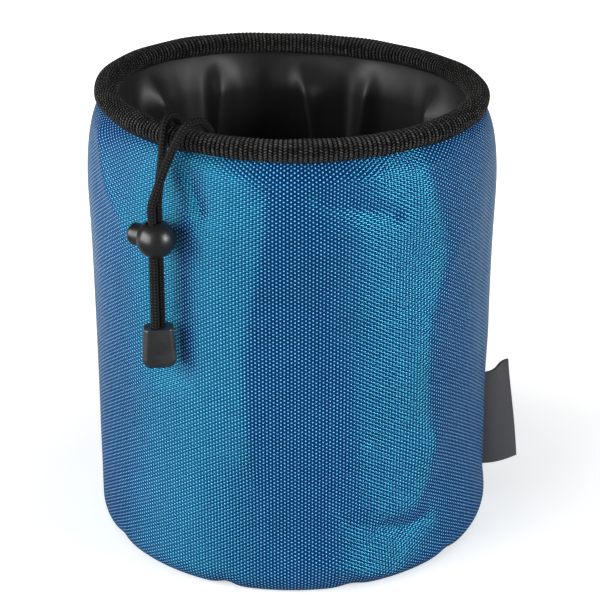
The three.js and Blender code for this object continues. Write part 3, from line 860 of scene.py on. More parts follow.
def plastic_material(name, colour, roughness, grain, depth, sockets):
    """Moulded plastic: a fine grain in the surface, with gloss and tone that change slowly over it.

    grain is the size of the grain and depth its height."""
    material, net, shader = new_material(name, sockets)
    cloud = net.group(cloud_group(), {"Size": 0.008})["Tone"]
    fine = net.add("TexNoise", {"Vector": net.spot(), "Scale": 1 / grain, "Detail": 3.0}).outputs[0]
    dark = tuple(0.75 * c for c in colour)
    net.fill(shader, {
        "Base Color": net.mix(net.between(cloud, (0.3, 0.7)), opaque(dark), opaque(colour)),
        "Roughness": net.between(cloud, (0.3, 0.7), (roughness * 0.85, roughness * 1.15)),
        "Normal": net.bump(fine, depth),
    })
    return material


# Settings


class BagClothSettings(bpy.types.PropertyGroup):
    """Blue cloth of the wall and the base"""

    columns: IntProperty(name="Columns", description="Warp yarns round the wall", default=384, min=8)
    row_pitch: FloatProperty(name="Row Pitch", description="Height of one weft row", default=0.00077,
                             min=1e-4, unit="LENGTH", precision=5)
    # The warp colour shows only on the warp's crowns: the yarn's blue, lightened as a painted highlight
    warp: FloatVectorProperty(name="Warp", description="Colour of the upright yarns", subtype="COLOR",
                              default=(0.230, 0.500, 0.850), min=0, max=1)
    weft: FloatVectorProperty(name="Weft", description="Colour of the level yarns", subtype="COLOR",
                              default=(0.000, 0.021, 0.138), min=0, max=1)
    yarn_depth: FloatProperty(name="Yarn Depth", description="How far the yarns stand up", default=0.0006,
                              min=0, unit="LENGTH", precision=5)
    fold_share: FloatProperty(name="Folds", description="Share of the wall's folds", default=1, min=0, max=2,
                              subtype="FACTOR")
    coating: FloatVectorProperty(name="Coating", description="Colour of the cloth's inner face",
                                 subtype="COLOR", default=(0.030, 0.032, 0.038), min=0, max=1)


class BagTrimSettings(bpy.types.PropertyGroup):
    """Rim tape, collar, lining and label"""

    ribs: IntProperty(name="Ribs", description="Ribs of the tape round the rim", default=264, min=8)
    rib_height: FloatProperty(name="Rib Height", description="How far a rib stands up", default=0.00034,
                              min=0, unit="LENGTH", precision=5)
    tape: FloatVectorProperty(name="Tape", description="Colour of the rim tape", subtype="COLOR",
                              default=(0.0185, 0.0181, 0.0174), min=0, max=1)
    # Dark nylon, set darker still as painted shade inside the bag
    nylon: FloatVectorProperty(name="Nylon", description="Colour of the collar and the lining",
                               subtype="COLOR", default=(0.013, 0.012, 0.0125), min=0, max=1)
    label: FloatVectorProperty(name="Label", description="Colour of the side label", subtype="COLOR",
                               default=(0.034, 0.034, 0.040), min=0, max=1)
    thread: FloatVectorProperty(name="Thread", description="Colour of the stitches", subtype="COLOR",
                                default=(0.030, 0.030, 0.034), min=0, max=1)


class BagCordSettings(bpy.types.PropertyGroup):
    """Drawstring, cord lock and cord end"""

    strands: IntProperty(name="Strands", description="Strands of the braid in one direction", default=8,
                         min=4)
    ring_spacing: FloatProperty(name="Ring Spacing", description="Distance between rings of the cord",
                                default=0.00025, min=1e-4, unit="LENGTH", precision=5)
    cord: FloatVectorProperty(name="Cord", description="Colour of the drawstring", subtype="COLOR",
                              default=(0.005, 0.005, 0.005), min=0, max=1)
    fleck: FloatVectorProperty(name="Fleck", description="Colour of the raised yarns of the drawstring",
                               subtype="COLOR", default=(0.042, 0.039, 0.036), min=0, max=1)
    gloss: FloatVectorProperty(name="Lock", description="Colour of the cord lock", subtype="COLOR",
                               default=(0.010, 0.010, 0.010), min=0, max=1)
    satin: FloatVectorProperty(name="Cord End", description="Colour of the cord end", subtype="COLOR",
                               default=(0.0120, 0.0145, 0.0175), min=0, max=1)


class BagStageSettings(bpy.types.PropertyGroup):
    """Camera, floor and light"""

    camera: FloatVectorProperty(name="Camera", description="Place of the camera", subtype="XYZ",
                                unit="LENGTH", default=(0.0, -0.7102, 0.39435))
    pitch: FloatProperty(name="Pitch", description="How far the camera looks down", subtype="ANGLE",
                         default=math.radians(23.175))
    yaw: FloatProperty(name="Yaw", description="How far the camera turns", subtype="ANGLE", default=-0.0039)
    focal_pixels: FloatProperty(name="Focal Length", description="Focal length in pixels of the image",
                                default=1900.24, subtype="PIXEL")
    key_power: FloatProperty(name="Key", description="Power of the left lamp", default=25, min=0,
                             unit="POWER")
    fill_power: FloatProperty(name="Fill", description="Power of the right lamp", default=11.5, min=0,
                              unit="POWER")
    top_power: FloatProperty(name="Top", description="Power of the overhead lamp", default=3, min=0,
                             unit="POWER")
    ambient: FloatProperty(name="Ambient", description="Strength of the light from all round", default=0.14,
                           min=0)


# Stage


def area_lamp(name, place, size, power):
    """A rectangular lamp that shines on the middle of the bag."""
    lamp = bpy.data.lights.new(name, "AREA")
    lamp.shape, lamp.size, lamp.size_y, lamp.energy = "RECTANGLE", size[0], size[1], power
    holder = link_object(name, lamp)
    holder.location = place
    toward = np.subtract(LAMP_AIM, place)
    level = math.hypot(toward[0], toward[1])
    holder.rotation_euler = (math.atan2(level, -toward[2]), 0, math.atan2(-toward[0], toward[1]))
    return holder


def build_camera(settings):
    """Camera at the photograph's angle."""
    lens = bpy.data.cameras.new("View")
    lens.sensor_width = SENSOR_MILLIMETRES
    lens.lens = SENSOR_MILLIMETRES * settings.focal_pixels / IMAGE_PIXELS
    camera = link_object("View", lens)
    camera.location = settings.camera
    camera.rotation_euler = (math.pi / 2 - settings.pitch, 0, settings.yaw)
    bpy.context.scene.camera = camera
    bpy.context.scene.view_settings.view_transform = "Standard"


def build_world(settings):
    """World that is white to the camera, dim to reflections, and gives even light from all round."""
    world = bpy.data.worlds.new("Studio")
    world.use_nodes = True
    bpy.context.scene.world = world
    net = Net(world.node_tree)
    even = net.fill(world.node_tree.nodes["Background"], {0: WHITE, 1: settings.ambient}).outputs[0]
    path = net.add("LightPath").outputs
    seen = net.math("MAXIMUM", path["Is Camera Ray"], path["Is Transmission Ray"])
    white = net.add("Background", {0: WHITE, 1: 1.0}).outputs[0]
    dim = net.add("Background", {0: WHITE, 1: MIRRORED_SKY}).outputs[0]
    other = net.blend_shaders(path["Is Glossy Ray"], even, dim)
    net.fill(world.node_tree.nodes["World Output"], {"Surface": net.blend_shaders(seen, other, white)})


def build_floor():
    """Wide pale floor. It glows to the camera, less round the bag, so that only the bag's shadow shows on
    it, and reflections see it dim in front of the bag."""
    low, high = -FLOOR_HALF, FLOOR_HALF
    corners = np.array([[[high, low, 0], [low, low, 0]], [[high, high, 0], [low, high, 0]]])
    floor = grid_piece("floor", corners, (False, False))
    material, net, shader = new_material("Pale floor", {"Roughness": 0.9, "Specular IOR Level": 0.1})
    grain = net.add("TexNoise", {"Vector": net.spot(), "Scale": 40.0}).outputs[0]
    tones = [opaque((tone, tone, tone)) for tone in FLOOR_TONES]
    net.fill(shader, {"Base Color": net.mix(net.between(grain, (0.3, 0.7)), *tones)})
    path = net.add("LightPath").outputs
    away = net.add("VectorMath", {0: net.spot()}, operation="LENGTH").outputs["Value"]
    glow = net.add("Emission", {0: WHITE, 1: net.between(away, GLOW_REACH, GLOW_STRENGTH)}).outputs[0]
    lit = net.add("AddShader", {0: shader.outputs[0], 1: glow}).outputs[0]
    level = net.between(net.split(net.spot())[1], MIRRORED_DEPTH, MIRRORED_FLOOR)
    dim = net.add("BsdfDiffuse", {0: net.grey(level)}).outputs[0]
    other = net.blend_shaders(path["Is Glossy Ray"], shader.outputs[0], dim)
    mixed = net.blend_shaders(path["Is Camera Ray"], other, lit)
    net.fill(material.node_tree.nodes["Material Output"], {"Surface": mixed})
    floor.data.materials.append(material)


def build_stage(settings):
    """Camera, white world, pale floor, two side lamps and an overhead lamp that reflections don't show."""
    build_camera(settings)
    build_world(settings)
    build_floor()
    area_lamp("Key", KEY_PLACE, KEY_SIZE, settings.key_power)
    area_lamp("Fill", FILL_PLACE, FILL_SIZE, settings.fill_power)
    area_lamp("Top", TOP_PLACE, TOP_SIZE, settings.top_power).visible_glossy = False


# Drawstring


def braid_pitch(strands):
    """Width of one strand of the braid, measured round the cord."""
    return 2 * math.pi * CORD_RADIUS / strands


def cord_material(settings):
    """Braided cord with paler raised yarns."""
    pitch = braid_pitch(settings.strands)
    return shared_material("Braided cord", lambda name: woven_material(
        name, pitch=(pitch, pitch), yarns=(settings.fleck, settings.cord), depth=0.0005,
        sockets={"Roughness": 0.55, "Specular IOR Level": 0.15}, gap=0.0, crown=0.82, place=braid_place))


def braid_relief(strands):
    """Radius of a braided cord: a plain weave laid aslant, its two directions counted along and round it."""
    pitch = braid_pitch(strands)

    def relief(along, angle):
        round_it = angle * CORD_RADIUS
        height = weave_relief((along + round_it) / pitch, (along - round_it) / pitch)
        return CORD_RADIUS + BRAID_RELIEF * (height - BRAID_LEVEL)

    return relief


def build_strand(name, route, settings):
    """One free strand of the drawstring, from the hem over the rim to the cord end.

    Its rings start on the radial direction inside the bag and turn to the direction round the bag before
    the cord bends over the rim, so that they never lie along the cord."""
    line = smooth_route(route, settings.ring_spacing)
    angle = np.arctan2(line[:, 0], -line[:, 1])
    along = run_lengths(line)
    quarter = math.pi / 2 * ease(along, *RING_TURN)[:, None]
    side = np.cos(quarter) * polar(angle, 1.0, 0.0) + np.sin(quarter) * polar(angle + math.pi / 2, 1.0, 0.0)
    strand = tube_piece(name, line, side, braid_relief(settings.strands), 4 * settings.strands)
    finish_piece(strand, "bag", [cord_material(settings)], ["drawstring_" + name])


def build_cords(settings):
    """The two free strands of the drawstring, and the loop that stays in the hem."""
    build_strand("left_strand", LEFT_ROUTE, settings)
    build_strand("right_strand", RIGHT_ROUTE, settings)
    opening = CORD_ANGLE + SLOT_SPREAD / 2
    angle = np.linspace(opening, opening + 2 * math.pi - SLOT_SPREAD, HEM_CORD_POINTS)
    loop = evenly(polar(angle, HEM_CENTRE + fold_shift(angle, HEM_Z), HEM_Z), HEM_CORD_RINGS)
    hidden = tube_piece("hem_cord", loop, np.array([[0.0, 0.0, 1.0]]), braid_relief(settings.strands),
                        HEM_CORD_SIDES)
    finish_piece(hidden, "bag", [cord_material(settings)], ["drawstring_in_hem"])


# Cord end


def end_outline(inset):
    """Outline of the cord end seen from the front, drawn in by an inset at the sides and the foot: a
    narrow top with a square edge, and a wide foot with round corners."""
    top, foot = END_TOP_WIDTH / 2 - inset, END_FOOT_WIDTH / 2 - inset
    small, large = END_CORNER, max(END_ROUND - inset, END_LEAST_ROUND)
    line = np.concatenate([
        bend((top - small, END_HEIGHT - small), (small, small), 0, 90, 8),
        bend((-top + small, END_HEIGHT - small), (small, small), 90, 180, 8),
        bend((-foot + large, inset + large), (large, large), 180, 270, 16),
        bend((foot - large, inset + large), (large, large), 270, 360, 16),
    ])
    return evenly(np.concatenate([line, line[:1]]), END_STEPS + 1)[:-1]


def end_half(name, side):
    """One half of the cord end: outlines stacked from the parting plane over a rounded chamfer to the face.

    side is -1 for the front half and 1 for the rear one."""
    face = END_DEPTH / 2
    corner = face - END_CHAMFER
    steps = ((0.0, GAP / 2), (0.0, corner - END_EDGE), (END_EASE, corner), (END_EDGE, corner + END_EDGE),
             (END_CHAMFER - END_EDGE, face - END_EDGE), (END_CHAMFER, face - END_EASE),
             (END_CHAMFER + END_EDGE, face), (END_FLAT, face))
    rings = [np.insert(end_outline(inset), 1, side * depth, axis=1) for inset, depth in steps]
    middles = [np.tile([0, side * depth, END_HEIGHT / 2], (END_STEPS, 1)) for depth in (GAP / 2, face)]
    points = from_end(np.stack([middles[0], *rings, middles[1]]))
    return close_poles(grid_piece(name, points, (False, True)))


def rod_tool(name, centre, radius, half, upright):
    """A short rod about a point of the cord end: upright for a cord well, or from front to back for a
    pin."""
    profile = np.array([[0, -half], [radius, -half], [radius, half], [0, half]])

    def place(points):
        if not upright:
            points = points[..., [0, 2, 1]] * [1, 1, -1]
        return from_end(points + centre)

    return turned_piece(name, profile, steps=32, place=place)


def build_cord_end(settings):
    """Cord end: two chamfered halves with wells for the strands. The rear half has two pins, and the
    front half has their holes."""
    satin = plastic_material("Satin plastic", settings.satin, roughness=0.46, grain=0.0005, depth=0.00002,
                             sockets={"Specular IOR Level": 1.0})
    for name, side in (("front", -1), ("back", 1)):
        half = end_half("cord_end_" + name + "_half", side)
        wells = []
        for strand in (-1, 1):
            spot = polar(CORD_ANGLE - END_TURN, strand * CORD_PITCH / 2, END_HEIGHT)
            wells.append(rod_tool("well", spot, CORD_RADIUS + GAP, END_GRIP + GAP, upright=True))
        fit = GAP if side < 0 else 0.0
        pins = [rod_tool("pin", np.array([x, 0, PIN_HEIGHT]), PIN_RADIUS + fit, PIN_LENGTH + fit,
                         upright=False) for x in (-PIN_SPREAD, PIN_SPREAD)]
        if side < 0:
            carve(half, wells + pins)
        else:
            carve(half, wells)
            carve(half, pins, "UNION")
        crisp(half, degrees=50)
        finish_piece(half, "bag", [satin], ["cord_end_" + name])


# Cord lock


def slot_tool(name, low, high, corner, flare):
    """A prism along the lock's Z with round corners, from low to high in X and two strands wide in Y.

    It widens by a flare near the surface of the ball."""
    height = np.linspace(-SLOT_REACH, SLOT_REACH, SLOT_ROWS)[:, None]
    turn = around(SLOT_SIDES)[None, :]
    grow = corner + flare * ease(np.abs(height), FLARE_FROM, LOCK_RADIUS)
    x = (low + high) / 2 + ((high - low) / 2 - corner) * np.sign(np.cos(turn)) + grow * np.cos(turn)
    y = (BORE_HALF - corner) * np.sign(np.sin(turn)) + grow * np.sin(turn)
    rings = from_lock(np.stack(np.broadcast_arrays(x, y, height), axis=-1))
    ends = np.broadcast_to(rings[[0, -1]].mean(axis=1, keepdims=True), (2, SLOT_SIDES, 3))
    return close_poles(grid_piece(name, np.concatenate([ends[:1], rings, ends[1:]]), (False, True)))


def build_ball(gloss):
    """Ball of the lock, turned about the button's line with its chamber and spring pocket, and bored for the
    cord."""
    flat = math.sqrt(LOCK_RADIUS**2 - LOCK_FLAT**2)
    tilt = math.degrees(math.atan2(-LOCK_FLAT, flat))
    low_lip = 0.7 * LOCK_LIP
    profile = np.concatenate([
        bend((0, 0), (LOCK_RADIUS, LOCK_RADIUS), 90, tilt + 4, 60),
        bend((flat - LOCK_LIP, -LOCK_FLAT + low_lip), (LOCK_LIP, low_lip), -30, -90, 6),
        bend((CHAMBER_RADIUS + LOCK_LIP, -LOCK_FLAT + LOCK_LIP), (LOCK_LIP, LOCK_LIP), -90, -180, 6),
        [[CHAMBER_RADIUS, CHAMBER_END], [POCKET_RADIUS, CHAMBER_END]],
        [[POCKET_RADIUS, POCKET_END], [0, POCKET_END]],
    ])
    ball = turned_piece("lock_ball", profile, steps=96, place=lock_place)
    carve(ball, [slot_tool("bore", -BORE_RADIUS, BORE_RADIUS, BORE_RADIUS, BORE_FLARE)])
    crisp(ball, degrees=40)
    finish_piece(ball, "cord_lock", [gloss], ["cord_lock_body"])


def build_button(gloss):
    """Button of the lock: a turned pin with a round head and a hole for the cord."""
    tip = -LOCK_FLAT - BUTTON_PROUD
    edge = (BUTTON_EDGE, BUTTON_EDGE)
    profile = np.concatenate([
        [[0, BUTTON_END]],
        bend((BUTTON_RADIUS - BUTTON_EDGE, BUTTON_END - BUTTON_EDGE), edge, 90, 0, 5),
        bend((BUTTON_RADIUS - BUTTON_ROUND, tip + BUTTON_ROUND), (BUTTON_ROUND, BUTTON_ROUND), 0, -90, 14),
        [[0, tip]],
    ])
    button = turned_piece("lock_button_knob", profile, steps=64, place=lock_place)
    carve(button, [slot_tool("hole", HOLE_FROM, HOLE_TO, HOLE_CORNER, 0.0)])
    crisp(button, degrees=40)
    finish_piece(button, "lock_button", [gloss], ["cord_lock_button"])


def build_spring():
    """Spring between the button and the end of its pocket: a helix."""
    start, stop = BUTTON_END + GAP + WIRE_RADIUS, POCKET_END - GAP - WIRE_RADIUS
    turn = np.linspace(0, 2 * math.pi * SPRING_TURNS, 40 * SPRING_TURNS)
    coil = np.stack([start + (stop - start) * turn / turn[-1], SPRING_RADIUS * np.cos(turn),
                     SPRING_RADIUS * np.sin(turn)], axis=-1)
    axis = polar(CORD_ANGLE + math.pi / 2, 1.0, 0.0)
    spring = tube_piece("lock_spring", from_lock(coil), axis[None, :], lambda along, angle: WIRE_RADIUS,
                        sides=10)
    steel = plastic_material("Drawn steel", (0.60, 0.60, 0.62), roughness=0.3, grain=0.0003, depth=0.00001,
                             sockets={"Metallic": 1.0})
    finish_piece(spring, "cord_lock", [steel], ["cord_lock_spring"])
    seat = from_lock(np.array([stop + WIRE_RADIUS, 0, 0]))
    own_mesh(spring)


def build_lock(settings):
    """Cord lock: ball, button and spring."""
    gloss = plastic_material("Gloss plastic", settings.gloss, roughness=0.34, grain=0.0012, depth=0.000012,
                             sockets={"Specular IOR Level": 0.7})
    build_ball(gloss)
    build_button(gloss)
    build_spring()


# Wall


def blue_material(settings):
    """Blue weave whose columns close round the wall."""
    column = 2 * math.pi * WALL_RADIUS / settings.columns
    sheen = {"Roughness": 0.26, "IOR": 1.78, "Specular IOR Level": 0.9,
             "Specular Tint": (0.04, 0.81, 1.0, 1.0)}
    return shared_material("Blue weave", lambda name: woven_material(
        name, pitch=(column, settings.row_pitch), yarns=(settings.warp, settings.weft),
        depth=settings.yarn_depth, sockets=sheen, gap=0.0, fill=0.55))


def wall_line():
    """Outer profile of the wall, downward: rim edge, shoulder, drawn-in waist, round corner and lap."""
    share = np.linspace(0, 1, 40)[1:-1]
    top = NECK_Z - SHOULDER_DROP
    waist = np.stack([WALL_RADIUS - WAIST_DRAW * np.sin(math.pi * share),
                      top + (CORNER_HEIGHT - top) * share], axis=-1)
    foot = WALL_RADIUS - CORNER_REACH
    return np.concatenate([
        [[NECK_RADIUS, EDGE_Z]],
        bend((NECK_RADIUS, top), (WALL_RADIUS - NECK_RADIUS, SHOULDER_DROP), 90, 0, 40),
        waist,
        bend((foot, CORNER_HEIGHT), (CORNER_REACH, CORNER_HEIGHT - FLOOR_LIFT), 0, -90, 24),
        [[foot - SEAM_LAP, FLOOR_LIFT]],
    ])


def line_distance(angle, z, points):
    """Distance on the laid-out wall from each place to a line of points, given in degrees and metres."""
    turn, height = np.array(points).T
    turn = np.radians(turn)
    x = turn_from(angle, turn[0]) * WALL_RADIUS
    line = np.stack([(turn - turn[0]) * WALL_RADIUS, height], axis=-1)
    nearest = np.full(np.broadcast(x, z).shape, np.inf)
    for start, stop in zip(line, line[1:]):
        run = stop - start
        share = np.clip(((x - start[0]) * run[0] + (z - start[1]) * run[1]) / (run @ run), 0, 1)
        nearest = np.minimum(nearest, np.hypot(x - start[0] - share * run[0], z - start[1] - share * run[1]))
    return nearest


def wall_folds(angle, z):
    """How far the cloth of the wall stands out of its plain shape: slow waves, folds and wrinkles that
    die out away from their lines, and the draw and groove of the side seam at the label. The rim, the
    floor and the cord hold it."""
    height, count, lean = CROSSED_SLACK
    crossed = height * np.sin(count * angle + lean * z) * np.sin(CROSSED_BEAT * z)
    height, count, lean = SLANTED_SLACK
    shift = crossed + height * np.cos(count * angle + lean * z)
    for width, height, crest, points in WALL_FOLDS:
        shift = shift + height * crested(line_distance(angle, z, points) / width, crest)
    seam = turn_from(angle, LABEL_ANGLE)
    draw = bell(seam, SEAM_SPREAD) * ease(z, *SEAM_FOOT) * (1 - ease(z, *SEAM_HEAD))
    shift = shift - SEAM_DRAW * draw - GROOVE_DEPTH * bell(seam * WALL_RADIUS, GROOVE_WIDTH)
    held = ease(z, 0.0, FOLD_FOOT) * (1 - ease(z, NECK_Z - FOLD_HEAD, NECK_Z))
    return shift * held * (1 - bell(turn_from(angle, CORD_ANGLE), DENT_CLEAR))


def wall_dent(angle, z):
    """How far the wall gives way behind the cord lock: a bell curve round the bag, along the lock's way."""
    along = ease(z, DENT_FROM - DENT_FADE, DENT_FROM) * (1 - ease(z, DENT_TO, DENT_TO + DENT_FADE))
    return DENT_DEPTH * bell(turn_from(angle, CORD_ANGLE), DENT_WIDTH) * along


def base_lift(angle):
    """How far the puckers of the base seam lift the bottom edge."""
    return sum(height * bell(turn_from(angle, math.radians(middle)), math.radians(width))
               for middle, width, height in BASE_PUCKERS)


def build_wall(settings):
    """The wall: its thickened profile carried round the bag, with the soft rim, the folds and the
    puckers."""
    section = thickened(wall_line(), WALL_THICKNESS, WALL_ROWS, WALL_INNER_ROWS)
    angle = around(WALL_STEPS)[:, None]
    radius, z = section[None, :, 0], section[None, :, 1]
    soft = ease(z, EDGE_Z - RIM_FADE, NECK_Z)
    lift = base_lift(angle) * (1 - ease(z, 0.0, PUCKER_TOP))
    out = settings.fold_share * wall_folds(angle, z) - wall_dent(angle, z) - PUCKER_DRAW * lift
    points = polar(angle, radius + out + soft * rim_out(angle), z + lift + soft * rim_up(angle))
    wall = grid_piece("wall_cloth", points, inside=WALL_ROWS - 1,
                      cloth=(closed_turn(WALL_STEPS, WALL_RADIUS), closed_lengths(section)))
    coating = woven_material("Cloth coating", pitch=(0.0005, 0.0005), depth=0.00003, gap=0.7,
                             yarns=(settings.coating, settings.coating), sockets={"Roughness": 0.6})
    finish_piece(wall, "bag", [blue_material(settings), coating], ["wall_panel"])


# Base


def nylon_material(settings):
    """Thin dark nylon with a faint sheen, its colour darkened further as painted shade inside the bag."""
    sheen = {"Roughness": 0.42, "Sheen Weight": 0.12, "Sheen Roughness": 0.35,
             "Sheen Tint": (0.85, 0.8, 0.95, 1.0)}
    return shared_material("Thin nylon", lambda name: woven_material(
        name, pitch=(0.00034, 0.00034), yarns=(settings.nylon, settings.nylon), depth=0.00004,
        sockets=sheen, gap=0.55))


def disc_piece(name, radius, foot, thickness, rings):
    """A cloth disc turned from its half section, with a round edge. Its UV map lies flat."""
    half = thickness / 2
    edge = bend((radius - half, foot + half), (half, half), -90, 90, 9)
    under = np.stack([np.linspace(0, radius - half, rings), np.full(rings, foot)], axis=-1)
    disc = turned_piece(name, np.concatenate([under[:-1], edge, under[-2::-1] + [0, thickness]]), DISC_STEPS)
    mesh = disc.data
    places = np.zeros(len(mesh.vertices) * 3, np.float32)
    mesh.vertices.foreach_get("co", places)
    corners = np.zeros(len(mesh.loops), np.int32)
    mesh.loops.foreach_get("vertex_index", corners)
    flat = places.reshape(-1, 3)[corners, :2]
    mesh.uv_layers.new(name="Cloth").uv.foreach_set("vector", flat.ravel())
    return disc


def build_base(cloth, trim):
    """Base cloth, the board on it and the lining that lies over the board."""
    panel = disc_piece("base_cloth", BASE_RADIUS, 0.0, BASE_THICKNESS, rings=40)
    finish_piece(panel, "bag", [blue_material(cloth)], ["base_panel"])

    lining = disc_piece("base_lining_cloth", LINING_RADIUS, LINING_FOOT, LINING_THICKNESS, rings=60)
    finish_piece(lining, "bag", [nylon_material(trim)], ["base_lining"])

    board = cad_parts["base_board"].data
    board.materials.clear()
    board.materials.append(plastic_material("Base board", (0.045, 0.045, 0.047), roughness=0.5,
                                            grain=0.0008, depth=0.00003, sockets={}))


# Rim


def tape_material(settings):
    """Ribbed binding tape: on each rib a stack of slanted dashes of uneven tone, lit with painted light,
    with painted shade in the gaps between them. On the next rib they lean the other way and lie half a
    step higher. Painted shade darkens the tape toward its lower outer edge."""
    material, net, shader = new_material("Rim tape", {"Roughness": 0.5, "Specular IOR Level": 0.1,
                                                      "Sheen Weight": 0.10, "Sheen Roughness": 0.3})
    place = net.split(net.uv())
    pitch = 2 * math.pi * RIM_RADIUS / settings.ribs
    x = net.math("DIVIDE", place[0], pitch)
    rib = net.math("FLOOR", x)
    across = net.math("SUBTRACT", net.math("SUBTRACT", x, rib), 0.5)
    odd = net.math("MODULO", net.math("ABSOLUTE", rib), 2.0)
    slant = net.times(across, net.math("MULTIPLY_ADD", odd, 2 * DASH_SLANT, -DASH_SLANT))
    step = net.math("MULTIPLY_ADD", odd, 0.5, slant)
    row = net.math("ADD", net.math("DIVIDE", place[1], DASH_TO_RIB * pitch), step)
    dash = net.math("ABSOLUTE", net.math("SINE", net.times(row, math.pi)))
    height = net.times(dash, net.math("COSINE", net.times(across, math.pi)))
    uneven = net.chance(net.pair(rib, net.math("FLOOR", row)))
    cloud = net.group(cloud_group(), {"Size": 0.02})["Tone"]
    # Painted light on the dashes and painted shade in the gaps between them, then tones of the tape
    shade = net.times(
        net.between(height, (0.4, 0.9), (0.05, 3.2)),
        net.between(cloud, (0.2, 0.8), (0.75, 1.25)),
        net.between(uneven, (0.0, 1.0), (0.45, 1.55)),
        net.math("MULTIPLY_ADD", odd, 0.3, 0.85),
        # Painted shade: darker toward the tape's lower outer edge
        net.between(place[1], (0.0, TAPE_PAINTED_SHADE_REACH), (0.15, 1.15)),
    )
    colour = net.mix(1.0, opaque(settings.tape), net.grey(shade), "MULTIPLY")
    net.fill(shader, {"Base Color": colour, "Normal": net.bump(height, 0.0008)})
    return material


def build_tape(settings):
    """Binding tape: a thick arc open below, laid a little flat, carried round the rim, ribbed and slack."""
    slit = math.degrees(math.asin(TAPE_SLIT / 2 / (ROLL_RADIUS - TAPE_THICKNESS)))
    arc = bend((0, 0), (ROLL_RADIUS, ROLL_RADIUS), slit - 90, 270 - slit, 90)
    section = thickened(arc, -TAPE_THICKNESS, TAPE_ROWS, TAPE_INNER_ROWS)
    laid = section * [ROLL_FLAT, 1] - [ROLL_SHIFT, 0]
    steps = RIB_STEPS * settings.ribs
    angle = around(steps)[:, None]
    outside = np.linalg.norm(section, axis=1) > ROLL_RADIUS - TAPE_THICKNESS / 2
    rib = np.abs(np.sin(angle / 2 * settings.ribs)) - RIB_LEVEL
    slack = sum(height * np.sin(count * angle + phase) for count, height, phase in TAPE_SLACK)
    scale = 1 + (settings.rib_height * rib + slack) / ROLL_RADIUS * outside[None, :]
    points = polar(angle, RIM_RADIUS + rim_out(angle) + scale * laid[None, :, 0],
                   RIM_Z + rim_up(angle) + scale * laid[None, :, 1])
    tape = grid_piece("rim_tape", points, cloth=(closed_turn(steps, RIM_RADIUS), closed_lengths(section)))
    finish_piece(tape, "bag", [tape_material(settings)], ["rim_binding"])


def build_filler():
    """Filler rod of the rim: a closed tube with a faint wave along and round it."""
    turn = around(240)
    line = polar(turn, RIM_RADIUS + rim_out(turn), RIM_Z + FILLER_LIFT + rim_up(turn))

    def relief(along, angle):
        return FILLER_RADIUS + FILLER_WAVE * np.sin(FILLER_BEATS[0] * along + FILLER_BEATS[1] * angle)

    rod = tube_piece("rim_rod", line, np.array([[0.0, 0.0, 1.0]]), relief, sides=20, closed=True)
    foam = plastic_material("Filler foam", (0.30, 0.30, 0.30), roughness=0.9, grain=0.0006, depth=0.0001,
                            sockets={})
    finish_piece(rod, "bag", [foam], ["rim_filler"])


# Collar


def gather_shift(angle, z):
    """Gathers under the rim: folds to the inside with a narrow crest that lean and die out toward the
    hem, with small wrinkles between them."""
    below = NECK_Z - z
    shift = 0.0
    for middle, lean, width, depth in COLLAR_GATHERS:
        centre = math.radians(middle) + math.radians(lean) * below / GATHER_RUN
        shift = shift - depth * crested(turn_from(angle, centre) / math.radians(width), GATHER_CREST)
    sway = WRINKLE_SWAY * below * np.sin(WRINKLE_SWAY_COUNT * angle)
    for count, phase, depth in COLLAR_WRINKLES:
        shift = shift + depth * np.cos(count * angle + phase + sway)
    return shift * ease(below, *GATHER_GROWTH) * (1 - ease(below, *GATHER_FADE))


def build_collar(settings):
    """The collar: a thin sleeve from the rim, folded, its foot turned up inward round the drawstring. The
    turned leg dips to the bend where the strands come out. A row of stitches closes the hem."""
    line = np.concatenate([
        [[COLLAR_RADIUS, EDGE_Z], [COLLAR_RADIUS, NECK_Z]],
        [[(COLLAR_RADIUS + HEM_RADIUS) / 2, (NECK_Z + HEM_Z) / 2], [HEM_RADIUS, HEM_Z + HEM_LEG]],
        bend((HEM_CENTRE, HEM_Z), (HEM_BEND, HEM_BEND), 0, -180, 24),
        [[LEG_TOP, HEM_Z + HEM_LEG]],
    ])
    section = thickened(line, COLLAR_THICKNESS, COLLAR_ROWS, COLLAR_ROWS)
    drop = run_lengths(line)
    turned = np.linspace(0, drop[-1], COLLAR_ROWS) > drop[-2]
    on_leg = np.concatenate([turned, turned[::-1]])[None, :]
    angle = around(COLLAR_STEPS)[:, None]
    radius, z = section[None, :, 0], section[None, :, 1]
    from_slot = np.abs(turn_from(angle, CORD_ANGLE))
    stays = np.maximum(ease(from_slot, SLOT_SPREAD / 2 - SLOT_EASE, SLOT_SPREAD / 2), LEG_LEAST)
    height = np.where(on_leg, HEM_Z + (z - HEM_Z) * stays, z)
    inward = np.where(on_leg, LEG_FOOT + (radius - LEG_FOOT) * stays, radius)
    soft = ease(height, HEM_Z + HEM_LEG, NECK_Z)
    shift = fold_shift(angle, height) + gather_shift(angle, height) + soft * rim_out(angle)
    points = polar(angle, inward + shift, height + soft * rim_up(angle))
    collar = grid_piece("collar_cloth", points,
                        cloth=(closed_turn(COLLAR_STEPS, COLLAR_RADIUS), closed_lengths(section)))
    finish_piece(collar, "bag", [nylon_material(settings)], ["closing_collar"])
    build_stitches(settings)


